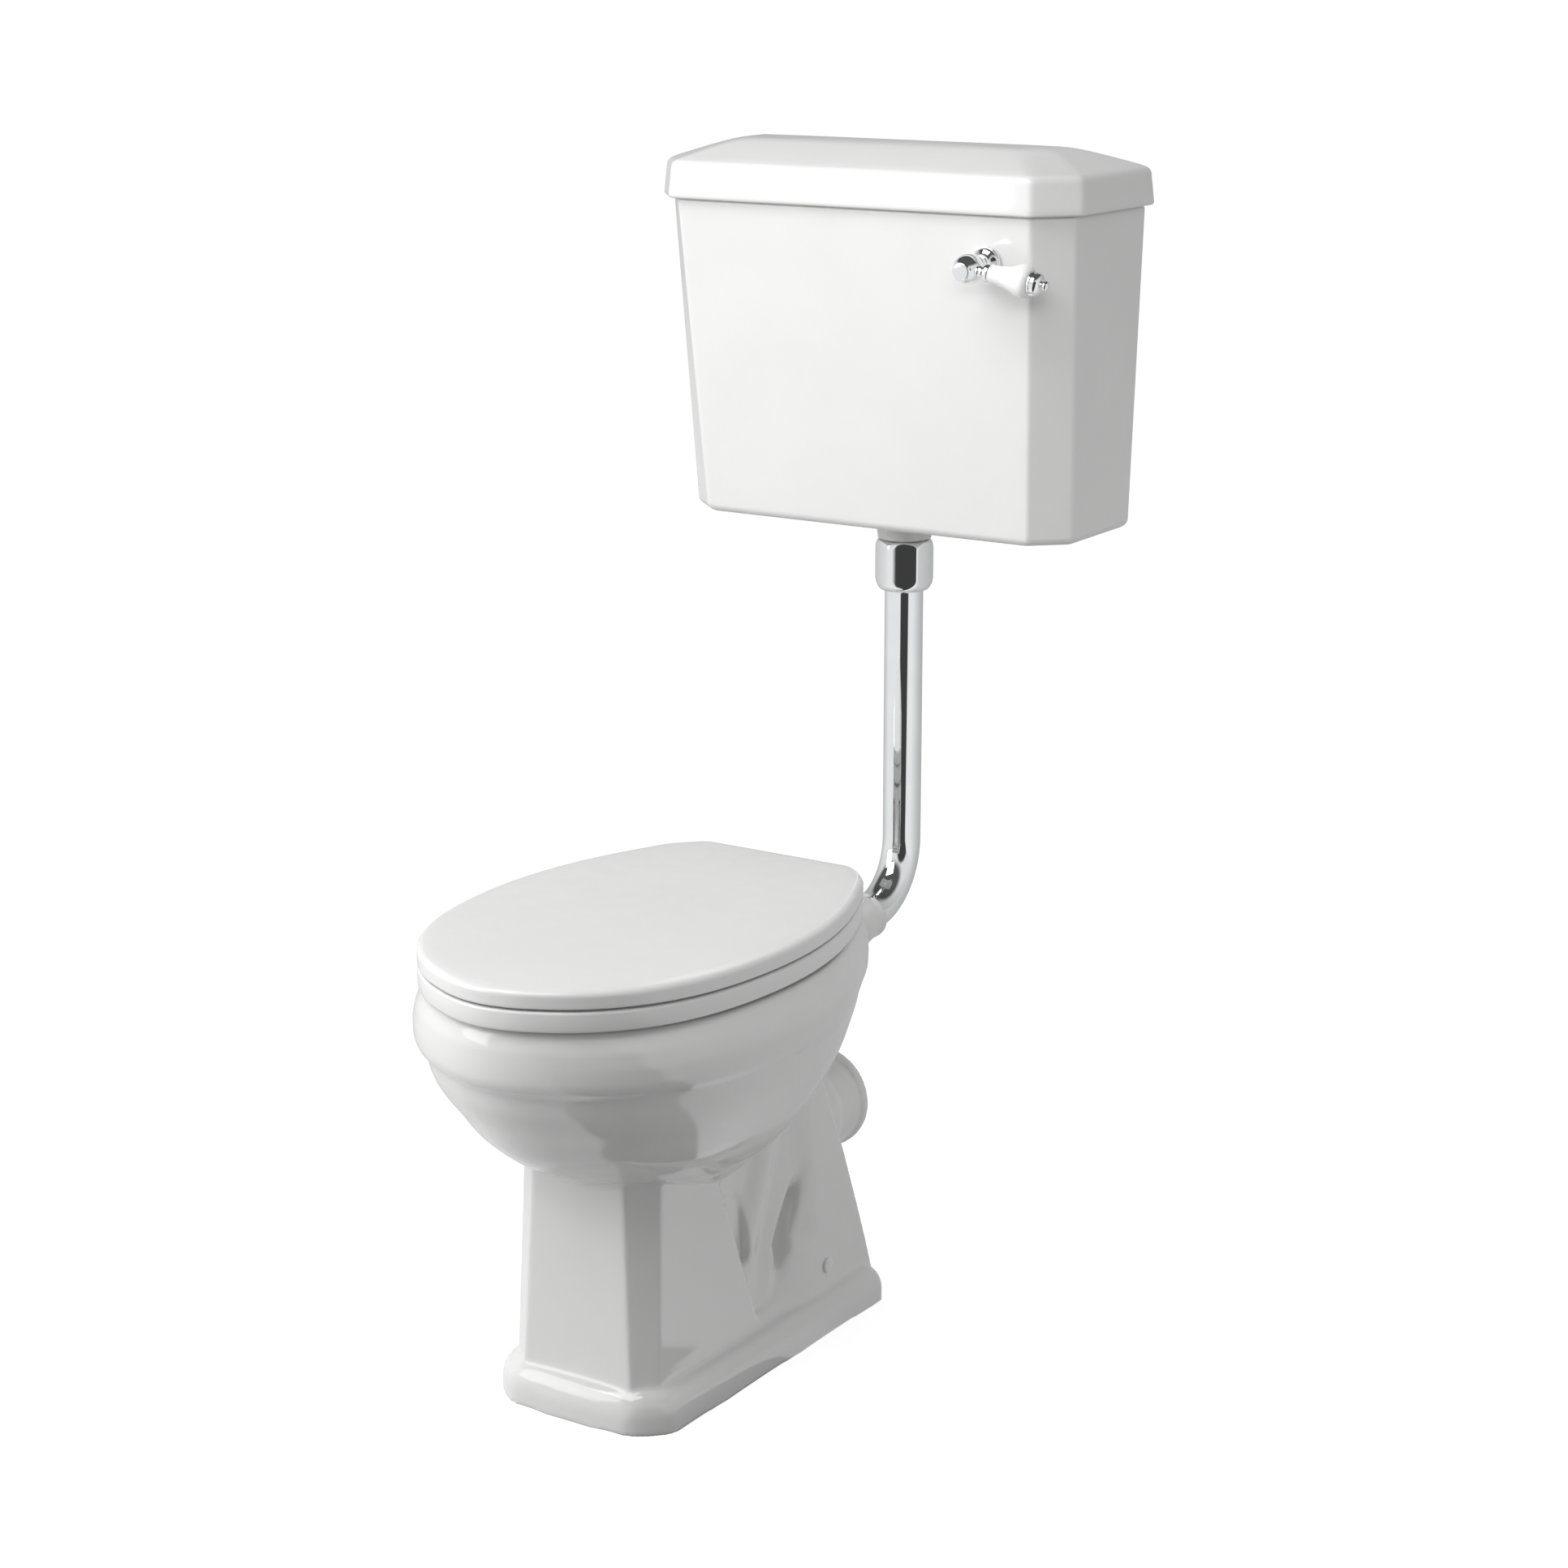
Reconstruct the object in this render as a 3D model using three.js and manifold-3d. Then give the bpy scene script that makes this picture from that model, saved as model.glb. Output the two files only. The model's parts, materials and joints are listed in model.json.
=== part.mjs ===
// Low-level toilet: china pan with seat and lid, chrome flush pipe, wall cistern with lever and siphon.
// Millimetres, +Z up, front of the pan towards -Y, x = 0 is the plane of symmetry.
// Pieces are drawn with y = 0 at the wall; the outer group moves the origin to the
// middle of the footprint on the floor.
import * as THREE from 'three';
import * as BGU from 'three/addons/utils/BufferGeometryUtils.js';
import Module from 'manifold-3d';
const wasm = await Module(); wasm.setup();

// ---------------------------------------------------------------- driving dimensions
const DEPTH = 746;                    // wall to front of seat
const GAP = 0.3;                      // clearance left between touching pieces
const FACETS = 0.68;                  // scales the number of flats round every turned piece
// pan
const RIM_Z = 399, CREASE_Z = 343, DECK_Y = -283;
const PLINTH_Z = 32, PLINTH_TOP_Z = 46, PED_TOP_Z = 226;
const FOOT_Z = 239.5;
const TRAP_R = 36, TRAP_WALL = 9, SPIGOT_R = 50, SPIGOT_BORE = 42, SPIGOT_Z = 171, SPIGOT_END = -209;
const HORN_R = 24, HORN_BORE = 19.6, HORN_Z = 336, HORN_END = -98;
// seat and lid
const RING_Z0 = 401, RING_Z1 = 420.5, LID_Z0 = 422, LID_Z1 = 440;
const HINGE_Y = -298, HINGE_Z = 414, HINGE_X = 66, PIN_R = 3, SEAT_BACK = -292;
// cistern
const C_Z0 = 721.7, C_Z1 = 1027;
const C_TOP = { w: 432.7, d: 174, cx: 27.6, cy: 34.4 }, C_BOT = { w: 413.2, d: 143.4, cx: 31.8, cy: 29.4 };
const C_WALL = 9, C_FLOOR = 10;
const CL = { w: 453.6, d: 182.5, cx: 32.4, cy: 38.9, skirt: 36, draft: 4.3, crown: 1078 };
// flush pipe
const PIPE_R = 19, PIPE_WALL = 1.6, PIPE_Y = -66, PIPE_TOP = 688, BEND_Z = 399, BEND_R = 63, PIPE_END = -168;
const NUT_Z0 = 651, NUT_Z1 = 701, NUT_R = 29;
// siphon
const TAIL_R = 23.5, TAIL_Z0 = 664, BELL_X = 60, BELL_R = 34, BELL_Z0 = 748, BELL_Z1 = 872, LEG_R = 21;
// lever
const LEV_X = 144, LEV_Z = 985, LIFT_X = 66, LOOP_Z0 = 976, LOOP_Z1 = 1005.5;
// fill valve
const FV_Y = -72, FV_Z = 980, FLOAT_R = 40;

// ---------------------------------------------------------------- materials
const std = (color, roughness, metalness = 0) => new THREE.MeshStandardMaterial({ color, roughness, metalness });
const china = std(0xf1f1ef, 0.12), seatW = std(0xf6f6f4, 0.25), chrome = std(0xdadcde, 0.06, 1);
const porcelain = std(0xfaf9f5, 0.1), rubber = std(0x2b2b2b, 0.8), plastic = std(0xe8e8e4, 0.45);
const brass = std(0xc5a050, 0.3, 1), steel = std(0xb9bcc0, 0.35, 1), floatP = std(0x3a3c40, 0.5);

// ---------------------------------------------------------------- helpers
const V = (x, y, z) => new THREE.Vector3(x, y, z);
function solid(g, m4) {
  let q = g.clone(); if (m4) q.applyMatrix4(m4);
  q.deleteAttribute('normal'); q.deleteAttribute('uv');
  q = BGU.mergeVertices(q, 1e-4);
  const idx = [], a = q.index.array;
  for (let i = 0; i < a.length; i += 3) if (a[i] !== a[i + 1] && a[i + 1] !== a[i + 2] && a[i] !== a[i + 2]) idx.push(a[i], a[i + 1], a[i + 2]);
  return new wasm.Manifold(new wasm.Mesh({ numProp: 3, vertProperties: new Float32Array(q.attributes.position.array), triVerts: new Uint32Array(idx) }));
}
function geo(man) {
  const m = man.simplify(0.02).getMesh(), g = new THREE.BufferGeometry();
  g.setAttribute('position', new THREE.BufferAttribute(new Float32Array(m.vertProperties), 3));
  g.setIndex(new THREE.BufferAttribute(new Uint32Array(m.triVerts), 1));
  g.computeVertexNormals();
  return g;
}
const room = new THREE.Group(); room.position.set(0, DEPTH / 2, 0);
const top = new THREE.Group(); top.add(room);
function put(name, man, mat) { const m = new THREE.Mesh(man.isBufferGeometry ? man : geo(man), mat); m.name = name; room.add(m); return m; }
// closed skin through rings of equal point count, fan caps at both ends
function loft(rings) {
  const n = rings[0].length, pos = [], idx = [];
  for (const r of rings) for (const p of r) pos.push(p.x, p.y, p.z);
  const mid = r => { const c = V(0, 0, 0); for (const p of r) c.add(p); return c.multiplyScalar(1 / r.length); };
  const c0 = mid(rings[0]), c1 = mid(rings[rings.length - 1]);
  const k0 = pos.length / 3; pos.push(c0.x, c0.y, c0.z); const k1 = k0 + 1; pos.push(c1.x, c1.y, c1.z);
  for (let r = 0; r < rings.length - 1; r++) for (let i = 0; i < n; i++) {
    const a = r * n + i, b = r * n + (i + 1) % n, c = a + n, d = b + n; idx.push(a, b, d, a, d, c);
  }
  const L = (rings.length - 1) * n;
  for (let i = 0; i < n; i++) { const j = (i + 1) % n; idx.push(k0, j, i, k1, L + i, L + j); }
  const g = new THREE.BufferGeometry();
  g.setAttribute('position', new THREE.Float32BufferAttribute(pos, 3)); g.setIndex(idx);
  let s = solid(g);
  return s;
}
// box between two corners
const box = (a, b) => solid(new THREE.BoxGeometry(Math.abs(b[0] - a[0]), Math.abs(b[1] - a[1]), Math.abs(b[2] - a[2])),
  new THREE.Matrix4().makeTranslation((a[0] + b[0]) / 2, (a[1] + b[1]) / 2, (a[2] + b[2]) / 2));
// turned piece: profile of [radius, height]; dir is where +height points; at is the origin of the height axis
function turned(profile, at, dir = 'z', n = 24) {
  n = Math.max(10, Math.round(n * FACETS));
  const g = new THREE.LatheGeometry(profile.map(p => new THREE.Vector2(p[0], p[1])), n);
  const M = new THREE.Matrix4();
  const dirs = { z: V(0, 0, 1), y: V(0, 1, 0), x: V(1, 0, 0), '-y': V(0, -1, 0), '-x': V(-1, 0, 0) };
  const d = typeof dir === 'string' ? dirs[dir] : dir.clone().normalize();
  const q = new THREE.Quaternion().setFromUnitVectors(V(0, 1, 0), d);
  M.compose(V(...at), q, V(1, 1, 1));
  let s = solid(g, M);
  return s;
}
const rod = (r, a, b, n = 16) => { const A = V(...a), B = V(...b), d = B.clone().sub(A), L = d.length(); return turned([[0, 0], [r, 0], [r, L], [0, L]], a, d, n); };
const ringZ = (r0, r1, z0, z1, at = [0, 0], n = 24) => turned([[r0, z0], [r1, z0], [r1, z1], [r0, z1], [r0, z0]], [at[0], at[1], 0], 'z', n);
// round pipe swept along planar points; u is the normal of their plane
function swept(points, r, n = 20, u = V(1, 0, 0)) {
  const rings = points.map((p, i) => {
    const a = points[Math.max(0, i - 1)], b = points[Math.min(points.length - 1, i + 1)];
    const t = V(b[0] - a[0], b[1] - a[1], b[2] - a[2]).normalize();
    const w = new THREE.Vector3().crossVectors(t, u);
    return Array.from({ length: n }, (_, k) => { const f = 2 * Math.PI * k / n; return V(p[0], p[1], p[2]).addScaledVector(u, Math.cos(f) * r).addScaledVector(w, Math.sin(f) * r); });
  });
  return loft(rings);
}

// ---------------------------------------------------------------- outlines
// half widths of the seat against depth, back to front
const HALF = [[SEAT_BACK, 86], [-319, 108], [-355, 125], [-400, 142], [-450, 154.5], [-500, 160], [-550, 158.5], [-600, 151], [-640, 138], [-672, 121], [-698, 100], [-718, 76], [-732, 52], [-742, 27], [-746, 0]];
const COARSE = [[SEAT_BACK, 86], [-340, 119], [-400, 142], [-470, 158], [-540, 160], [-610, 148], [-665, 125], [-708, 88], [-736, 44], [-746, 0]];
// closed outline, anticlockwise from above: grow moves it outwards
function outline(z, { grow = 0, front = -DEPTH, back = SEAT_BACK, sx = 1, pts = HALF } = {}) {
  const map = y => back + (y - SEAT_BACK) * (front - back) / (-DEPTH - SEAT_BACK);
  const right = pts.map(([y, h]) => [h * sx, map(y)]);
  const all = [...right.map(p => [p[0], p[1]])].concat(right.slice(0, -1).reverse().map(p => [-p[0], p[1]]));
  all.reverse();
  if (grow) {
    const n = all.length, out = [];
    for (let i = 0; i < n; i++) {
      const a = all[(i + n - 1) % n], b = all[(i + 1) % n], p = all[i];
      const e1 = [p[0] - a[0], p[1] - a[1]], e2 = [b[0] - p[0], b[1] - p[1]];
      const l1 = Math.hypot(...e1), l2 = Math.hypot(...e2);
      const n1 = [e1[1] / l1, -e1[0] / l1], n2 = [e2[1] / l2, -e2[0] / l2];
      const m = [n1[0] + n2[0], n1[1] + n2[1]], ml = Math.hypot(...m);
      const k = grow / Math.max(0.5, (m[0] * n1[0] + m[1] * n1[1]) / ml) / ml;
      out.push([p[0] + m[0] * k, p[1] + m[1] * k]);
    }
    return out.map(p => V(p[0], p[1], z));
  }
  return all.map(p => V(p[0], p[1], z));
}
// box outline with bevelled front corners; y = 0 is the wall
const bev = (w, d, cx, cy, z, g = 0) => [[w / 2 + g, 0 + g], [w / 2 + g, -d + cy - g * 0.4], [w / 2 - cx + g * 0.4, -d - g], [-w / 2 + cx - g * 0.4, -d - g], [-w / 2 - g, -d + cy - g * 0.4], [-w / 2 - g, 0 + g]].reverse().map(p => V(p[0], p[1], z));
// bevelled block outline given front y, front half, bevel point and back y
const blk = (fy, fx, sy, sx, by, bx, z) => [[bx, by], [sx, sy], [fx, fy], [-fx, fy], [-sx, sy], [-bx, by]].reverse().map(p => V(p[0], p[1], z));

// ---------------------------------------------------------------- pan
{
  const o = (z, sx, front, back, grow = 0) => outline(z, { sx, front, back, grow });
  const bowl = loft([
    o(196, .36, -606, -420), o(212, .45, -622, -385), o(228, .55, -640, -352), o(246, .67, -661, -330), o(266, .78, -681, -316),
    o(288, .88, -701, -305), o(310, .955, -717, -297), o(328, 1.0, -728, -292), o(338, 1.015, -732, -289),
    o(CREASE_Z, 1.045, -738, -287), o(352, 1.06, -741, -285), o(368, 1.055, -742.5, -284), o(384, 1.035, -742, DECK_Y), o(394, 1.005, -739, DECK_Y), o(RIM_Z, .985, -735, DECK_Y - 1)]);
  const plinth = loft([
    blk(-643, 66, -603, 93, -272, 100, 0), blk(-643, 66, -603, 93, -272, 100, PLINTH_Z), blk(-639, 65, -602, 91, -274, 98, PLINTH_Z + 3),
    blk(-632, 62, -599, 86, -279, 92, PLINTH_Z + 7), blk(-628, 60, -597, 84, -281, 90, PLINTH_TOP_Z - 2), blk(-622, 58, -596, 81, -284, 86, PLINTH_TOP_Z + 4)]);
  const ped = loft([
    blk(-626, 58.5, -599, 81, -440, 80, PLINTH_TOP_Z - 8), blk(-624, 57, -598, 80, -455, 79, PLINTH_TOP_Z + 30), blk(-621, 55.5, -596, 79, -488, 78, 160), blk(-620, 54, -596, 78, -512, 76, PED_TOP_Z + 6)]);
  const web = loft([
    blk(-520, 60, -500, 72, -271, 86, PLINTH_TOP_Z - 6), blk(-520, 60, -500, 70, -279, 84, 68), blk(-525, 56, -505, 64, -293, 80, 106), blk(-530, 54, -510, 60, -309, 72, 161), blk(-540, 52, -515, 58, -322, 62, 200), blk(-540, 50, -520, 56, -330, 56, 236)]);
  const path = [[0, -585, 262], [0, -560, 222], [0, -522, 178], [0, -486, 163], [0, -452, 178], [0, -425, 222], [0, -400, 262], [0, -367, 281], [0, -340, 262], [0, -326, 222], [0, -306, 186], [0, -272, SPIGOT_Z], [0, -240, SPIGOT_Z]];
  const trapOut = swept(path.slice(2, 12), TRAP_R + TRAP_WALL, 16);
  const spigot = turned([[0, 0], [SPIGOT_R - 2, 0], [SPIGOT_R - 2, 90], [SPIGOT_R, 94], [SPIGOT_R, 100], [0, 100]], [0, SPIGOT_END - 100, SPIGOT_Z], 'y', 24);
  // inlet horn, cut off obliquely so that the pipe drops into a cradle
  let horn = turned([[0, 0], [46, 0], [46, 44], [38, 62], [31, 92], [27, 130], [HORN_R, 175], [HORN_R, 226], [0, 226]], [0, HORN_END - 226, HORN_Z - 1], 'y', 24);
  const cut = loft([[V(-60, -160, 353), V(60, -160, 353), V(60, -60, 286.3), V(-60, -60, 286.3)], [V(-60, -160, 460), V(60, -160, 460), V(60, -60, 460), V(-60, -60, 460)]]);
  horn = horn.subtract(cut);
  let pan = bowl.add(plinth).add(ped).add(web).add(trapOut).add(spigot).add(horn);
  // side recesses between the front panel and the rear web
  for (const s of [-1, 1]) {
    pan = pan.subtract(turned([[0, -44], [12, -40], [20, -24], [22, 0], [20, 30], [12, 48], [0, 54]], [s * 88, -425, 130], V(s * -0.1, 0.28, 1), 20));
  }
  // basin: narrow mouth, undercut flushing rim, round bowl down to the sump
  const b = (z, hx, f, k) => outline(z, { sx: hx / 160, front: f, back: k, pts: COARSE });
  const oc = (z, sx, front, back, grow) => outline(z, { sx, front, back, grow, pts: COARSE });
  const basin = loft([
    b(206, 22, -590, -548), b(214, 34, -604, -530), b(232, 52, -626, -505), b(256, 74, -650, -478), b(284, 96, -674, -450), b(312, 114, -692, -430), b(338, 127, -704, -414),
    b(356, 136, -711, -404), b(374, 136, -711, -404), b(379, 118, -694, -418), b(RIM_Z + 2, 116, -692, -420)]);
  pan = pan.subtract(basin);
  pan = pan.subtract(swept(path, TRAP_R, 16));
  pan = pan.subtract(turned([[0, 0], [TRAP_R, 0], [SPIGOT_BORE, 14], [SPIGOT_BORE, 120], [0, 120]], [0, SPIGOT_END - 60, SPIGOT_Z], 'y', 24));
  pan = pan.subtract(turned([[0, 0], [15, 0], [15, 232], [HORN_BORE + 4.9, 235], [HORN_BORE + 4.9, 279], [HORN_BORE + 1.2, 281], [HORN_BORE + 1.2, 296], [0, 296]], [0, -448, HORN_Z], 'y', 20));
  // hollow foot, open underneath
  let core = loft([blk(-611, 46, -590, 66, -460, 64, 100), blk(-609, 44, -588, 64, -500, 62, 160), blk(-606, 42, -586, 62, -500, 60, 214), blk(-606, 42, -586, 62, -500, 60, 228)])
    .add(loft([blk(-560, 44, -540, 50, -312, 58, 90), blk(-560, 44, -540, 50, -330, 54, 161), blk(-560, 42, -540, 46, -344, 46, 214), blk(-560, 42, -540, 46, -344, 40, 234)]))
    .add(loft([oc(214, .45, -622, -385, -13), oc(246, .67, -661, -334, -12), oc(288, .88, -701, -324, -12), oc(304, .94, -712, -322, -12), oc(324, .86, -694, -336, -12)]));
  const bigBasin = loft([b(198, 30, -598, -538), b(214, 46, -616, -520), b(256, 85, -660, -466), b(284, 107, -684, -438), b(312, 125, -702, -418), b(338, 138, -714, -402), b(345, 138, -714, -402)]);
  core = core.subtract(bigBasin).subtract(swept(path, TRAP_R + TRAP_WALL, 16)).subtract(turned([[0, 0], [SPIGOT_R, 0], [SPIGOT_R, 120], [0, 120]], [0, SPIGOT_END - 108, SPIGOT_Z], 'y', 24))
    .subtract(turned([[0, 0], [26, 0], [30, 170], [0, 170]], [0, -448, HORN_Z], 'y', 20));
  pan = pan.subtract(core);
  pan = pan.subtract(loft([blk(-624, 50, -592, 80, -288, 82, -5), blk(-624, 50, -592, 80, -288, 82, 34), blk(-612, 46, -590, 68, -300, 70, 52), blk(-608, 44, -590, 64, -318, 60, 108)]));
  // pockets under the deck for the seat fixings, and the fixing holes
  for (const s of [-1, 1]) {
    pan = pan.subtract(box([s * 50, -322, 330], [s * 80.5, -260, 383]));
    pan = pan.subtract(rod(5.5, [s * HINGE_X, -300, 370], [s * HINGE_X, -300, 410]));
    pan = pan.subtract(rod(4, [s * 50, -345, 60], [s * 110, -345, 60])).subtract(rod(8, [s * 79, -345, 60], [s * 110, -345, 60], 20));
  }
  // cradle for the flush pipe along its bend
  const ppath = pipePath(0);
  pan = pan.subtract(swept(ppath.slice(1), PIPE_R + 0.7, 16));
  // one casting, divided level with the top of the foot: bowl above, foot and outlet below
  put('pan', pan.trimByPlane([0, 0, 1], FOOT_Z + GAP), china);
  put('pan_foot', pan.trimByPlane([0, 0, -1], -FOOT_Z), china);
}
function pipePath(_) {
  const p = [[0, PIPE_Y, PIPE_TOP], [0, PIPE_Y, BEND_Z]];
  for (let i = 1; i <= 7; i++) { const t = i / 7 * Math.PI / 2; p.push([0, PIPE_Y - BEND_R * (1 - Math.cos(t)), BEND_Z - BEND_R * Math.sin(t)]); }
  p.push([0, PIPE_END, HORN_Z]);
  return p;
}

// ---------------------------------------------------------------- flush pipe, its nut and seals
{
  const p = pipePath(0);
  const inner = p.map(q => [...q]); inner[0][2] += 3; inner[inner.length - 1][1] -= 3;
  put('flush_pipe', swept(p, PIPE_R, 16).subtract(swept(inner, PIPE_R - PIPE_WALL, 16)), chrome);
  // hexagon nut with coned ends, over the siphon tail
  const hexR = NUT_R * 1.04, hex = [];
  const ring6 = (z) => Array.from({ length: 6 }, (_, k) => V(Math.cos(k * Math.PI / 3 - 0.393) * hexR, PIPE_Y + Math.sin(k * Math.PI / 3 - 0.393) * hexR, z));
  const cone = turned([[0, NUT_Z0], [21.5, NUT_Z0], [27, NUT_Z0 + 6], [NUT_R, NUT_Z0 + 13], [NUT_R, NUT_Z1 - 7], [26.5, NUT_Z1], [0, NUT_Z1]], [0, PIPE_Y, 0], 'z', 24);
  let nut = loft([ring6(NUT_Z0), ring6(NUT_Z1)]).intersect(cone);
  nut = nut.subtract(turned([[0, NUT_Z0 - 2], [PIPE_R + 0.8, NUT_Z0 - 2], [PIPE_R + 0.8, NUT_Z0 + 8], [TAIL_R + 0.8, NUT_Z0 + 8], [TAIL_R + 0.8, NUT_Z1 + 2], [0, NUT_Z1 + 2]], [0, PIPE_Y, 0], 'z', 24));
  put('flush_pipe_nut', nut, chrome);
  put('flush_pipe_seal', ringZ(PIPE_R + 0.8, TAIL_R, NUT_Z0 + 8 + GAP, TAIL_Z0 - GAP, [0, PIPE_Y]), rubber);
  put('flush_cone', turned([[PIPE_R + 0.8, 0], [PIPE_R + 4.2, 0], [PIPE_R + 4.2, 30], [PIPE_R + 0.8, 30], [PIPE_R + 0.8, 0]], [0, -211 + 10, HORN_Z], 'y', 24).add(turned([[14.5, 0], [PIPE_R + 4.2, 0], [PIPE_R + 4.2, 10], [14.5, 10], [14.5, 0]], [0, -211, HORN_Z], 'y', 24)), rubber);
}

// ---------------------------------------------------------------- seat ring, lid, hinges, buffers
const seatOutline = (z, g) => outline(z, { grow: g });
{
  let ring = loft([seatOutline(RING_Z0, -1.6), seatOutline(RING_Z0 + 1.6, 0), seatOutline(RING_Z1 - 3, 0), seatOutline(RING_Z1 - 0.8, -1), seatOutline(RING_Z1, -2.6)]);
  const h = (z, g) => outline(z, { sx: (118 + g) / 160, front: -690 - g, back: -410 + g });
  ring = ring.subtract(loft([h(RING_Z0 - 2, 2), h(RING_Z0 + 4, 0), h(RING_Z1 - 5, 1), h(RING_Z1 - 1, 4), h(RING_Z1 + 2, 9)]));
  for (const s of [-1, 1]) {
    ring = ring.subtract(box([s * 46, -318, RING_Z0 - 5], [s * 80, -280, RING_Z1 + 5]));
    ring = ring.subtract(rod(PIN_R + 0.4, [s * 30, HINGE_Y, HINGE_Z], [s * 60, HINGE_Y, HINGE_Z]));
  }
  for (const [i, [x, y]] of [[-132, -470], [132, -470], [-62, -698], [62, -698]].entries()) {
    ring = ring.subtract(turned([[0, RING_Z0 - 3], [8.4, RING_Z0 - 3], [8.4, RING_Z0 + 4.4], [0, RING_Z0 + 4.4]], [x, y, 0], 'z', 20));
    put('seat_buffer_' + (i + 1), turned([[0, RIM_Z + GAP], [7.4, RIM_Z + GAP], [8, RIM_Z + 1.2], [8, RING_Z0 + 4], [0, RING_Z0 + 4]], [x, y, 0], 'z', 20), rubber);
  }
  // relieve the lower back edge so that the ring clears the deck as it turns
  ring = ring.subtract(solid(new THREE.BoxGeometry(200, 8, 8), new THREE.Matrix4().compose(V(0, SEAT_BACK + 2.6, RING_Z0 - 2.6), new THREE.Quaternion().setFromAxisAngle(V(1, 0, 0), Math.PI / 4), V(1, 1, 1))));
  put('seat_ring', ring, seatW);

  let lid = loft([seatOutline(LID_Z0, -1.2), seatOutline(LID_Z0 + 1.2, 0), seatOutline(LID_Z1 - 7, 0), seatOutline(LID_Z1 - 4, -1.2), seatOutline(LID_Z1 - 1.8, -3.4), seatOutline(LID_Z1 - 0.6, -7), seatOutline(LID_Z1, -16)]);
  for (const s of [-1, 1]) {
    const lug = box([s * 48, HINGE_Y - 6, HINGE_Z], [s * 56, HINGE_Y + 6, LID_Z0 + 3]).add(rod(6, [s * 48, HINGE_Y, HINGE_Z], [s * 56, HINGE_Y, HINGE_Z], 20));
    lid = lid.add(lug).subtract(rod(PIN_R + 0.4, [s * 47, HINGE_Y, HINGE_Z], [s * 57, HINGE_Y, HINGE_Z]));
    // room above the hinge post
    lid = lid.subtract(box([s * 57, -309, LID_Z0 - 4], [s * 77, -288.5, LID_Z0 + 2.6]));
  }
  for (const [i, [x, y]] of [[-142, -500], [142, -500], [-58, -707], [58, -707]].entries()) {
    lid = lid.subtract(turned([[0, LID_Z0 - 3], [6.4, LID_Z0 - 3], [6.4, LID_Z0 + 3.4], [0, LID_Z0 + 3.4]], [x, y, 0], 'z', 16));
    put('lid_buffer_' + (i + 1), turned([[0, RING_Z1 + GAP], [6, RING_Z1 + GAP], [6, LID_Z0 + 3], [0, LID_Z0 + 3]], [x, y, 0], 'z', 16), rubber);
  }
  put('seat_lid', lid, seatW);

  for (const [side, s] of [['left', -1], ['right', 1]]) {
    let post = turned([[0, RIM_Z + GAP], [11.5, RIM_Z + GAP], [11.5, RIM_Z + 3], [10, RIM_Z + 4], [0, RIM_Z + 4]], [s * HINGE_X, -300, 0], 'z', 24)
      .add(box([s * 58, HINGE_Y - 7, RIM_Z + 2], [s * 76, HINGE_Y + 6, HINGE_Z])).add(rod(6.3, [s * 58, HINGE_Y, HINGE_Z], [s * 76, HINGE_Y, HINGE_Z], 20))
      .subtract(rod(PIN_R + GAP, [s * 50, HINGE_Y, HINGE_Z], [s * 80, HINGE_Y, HINGE_Z])).subtract(rod(4.3, [s * HINGE_X, -300, 395], [s * HINGE_X, -300, RIM_Z + 9]));
    put('hinge_post_' + side, post, chrome);
    put('hinge_pin_' + side, rod(PIN_R, [s * 31, HINGE_Y, HINGE_Z], [s * 77, HINGE_Y, HINGE_Z]), steel);
    put('hinge_bolt_' + side, rod(4, [s * HINGE_X, -300, 346], [s * HINGE_X, -300, RIM_Z + 8.6]), steel);
    put('hinge_washer_' + side, ringZ(4.4, 11.5, 378.6, 383 - GAP, [s * HINGE_X, -300], 16), rubber);
    put('hinge_nut_' + side, ringZ(4.4, 9, 366, 378.3, [s * HINGE_X, -300], 12).add(box([s * (HINGE_X + 7), -302, 358], [s * (HINGE_X + 11), -298, 374])).add(box([s * (HINGE_X - 11), -302, 358], [s * (HINGE_X - 7), -298, 374])), plastic);
  }
}

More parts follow.
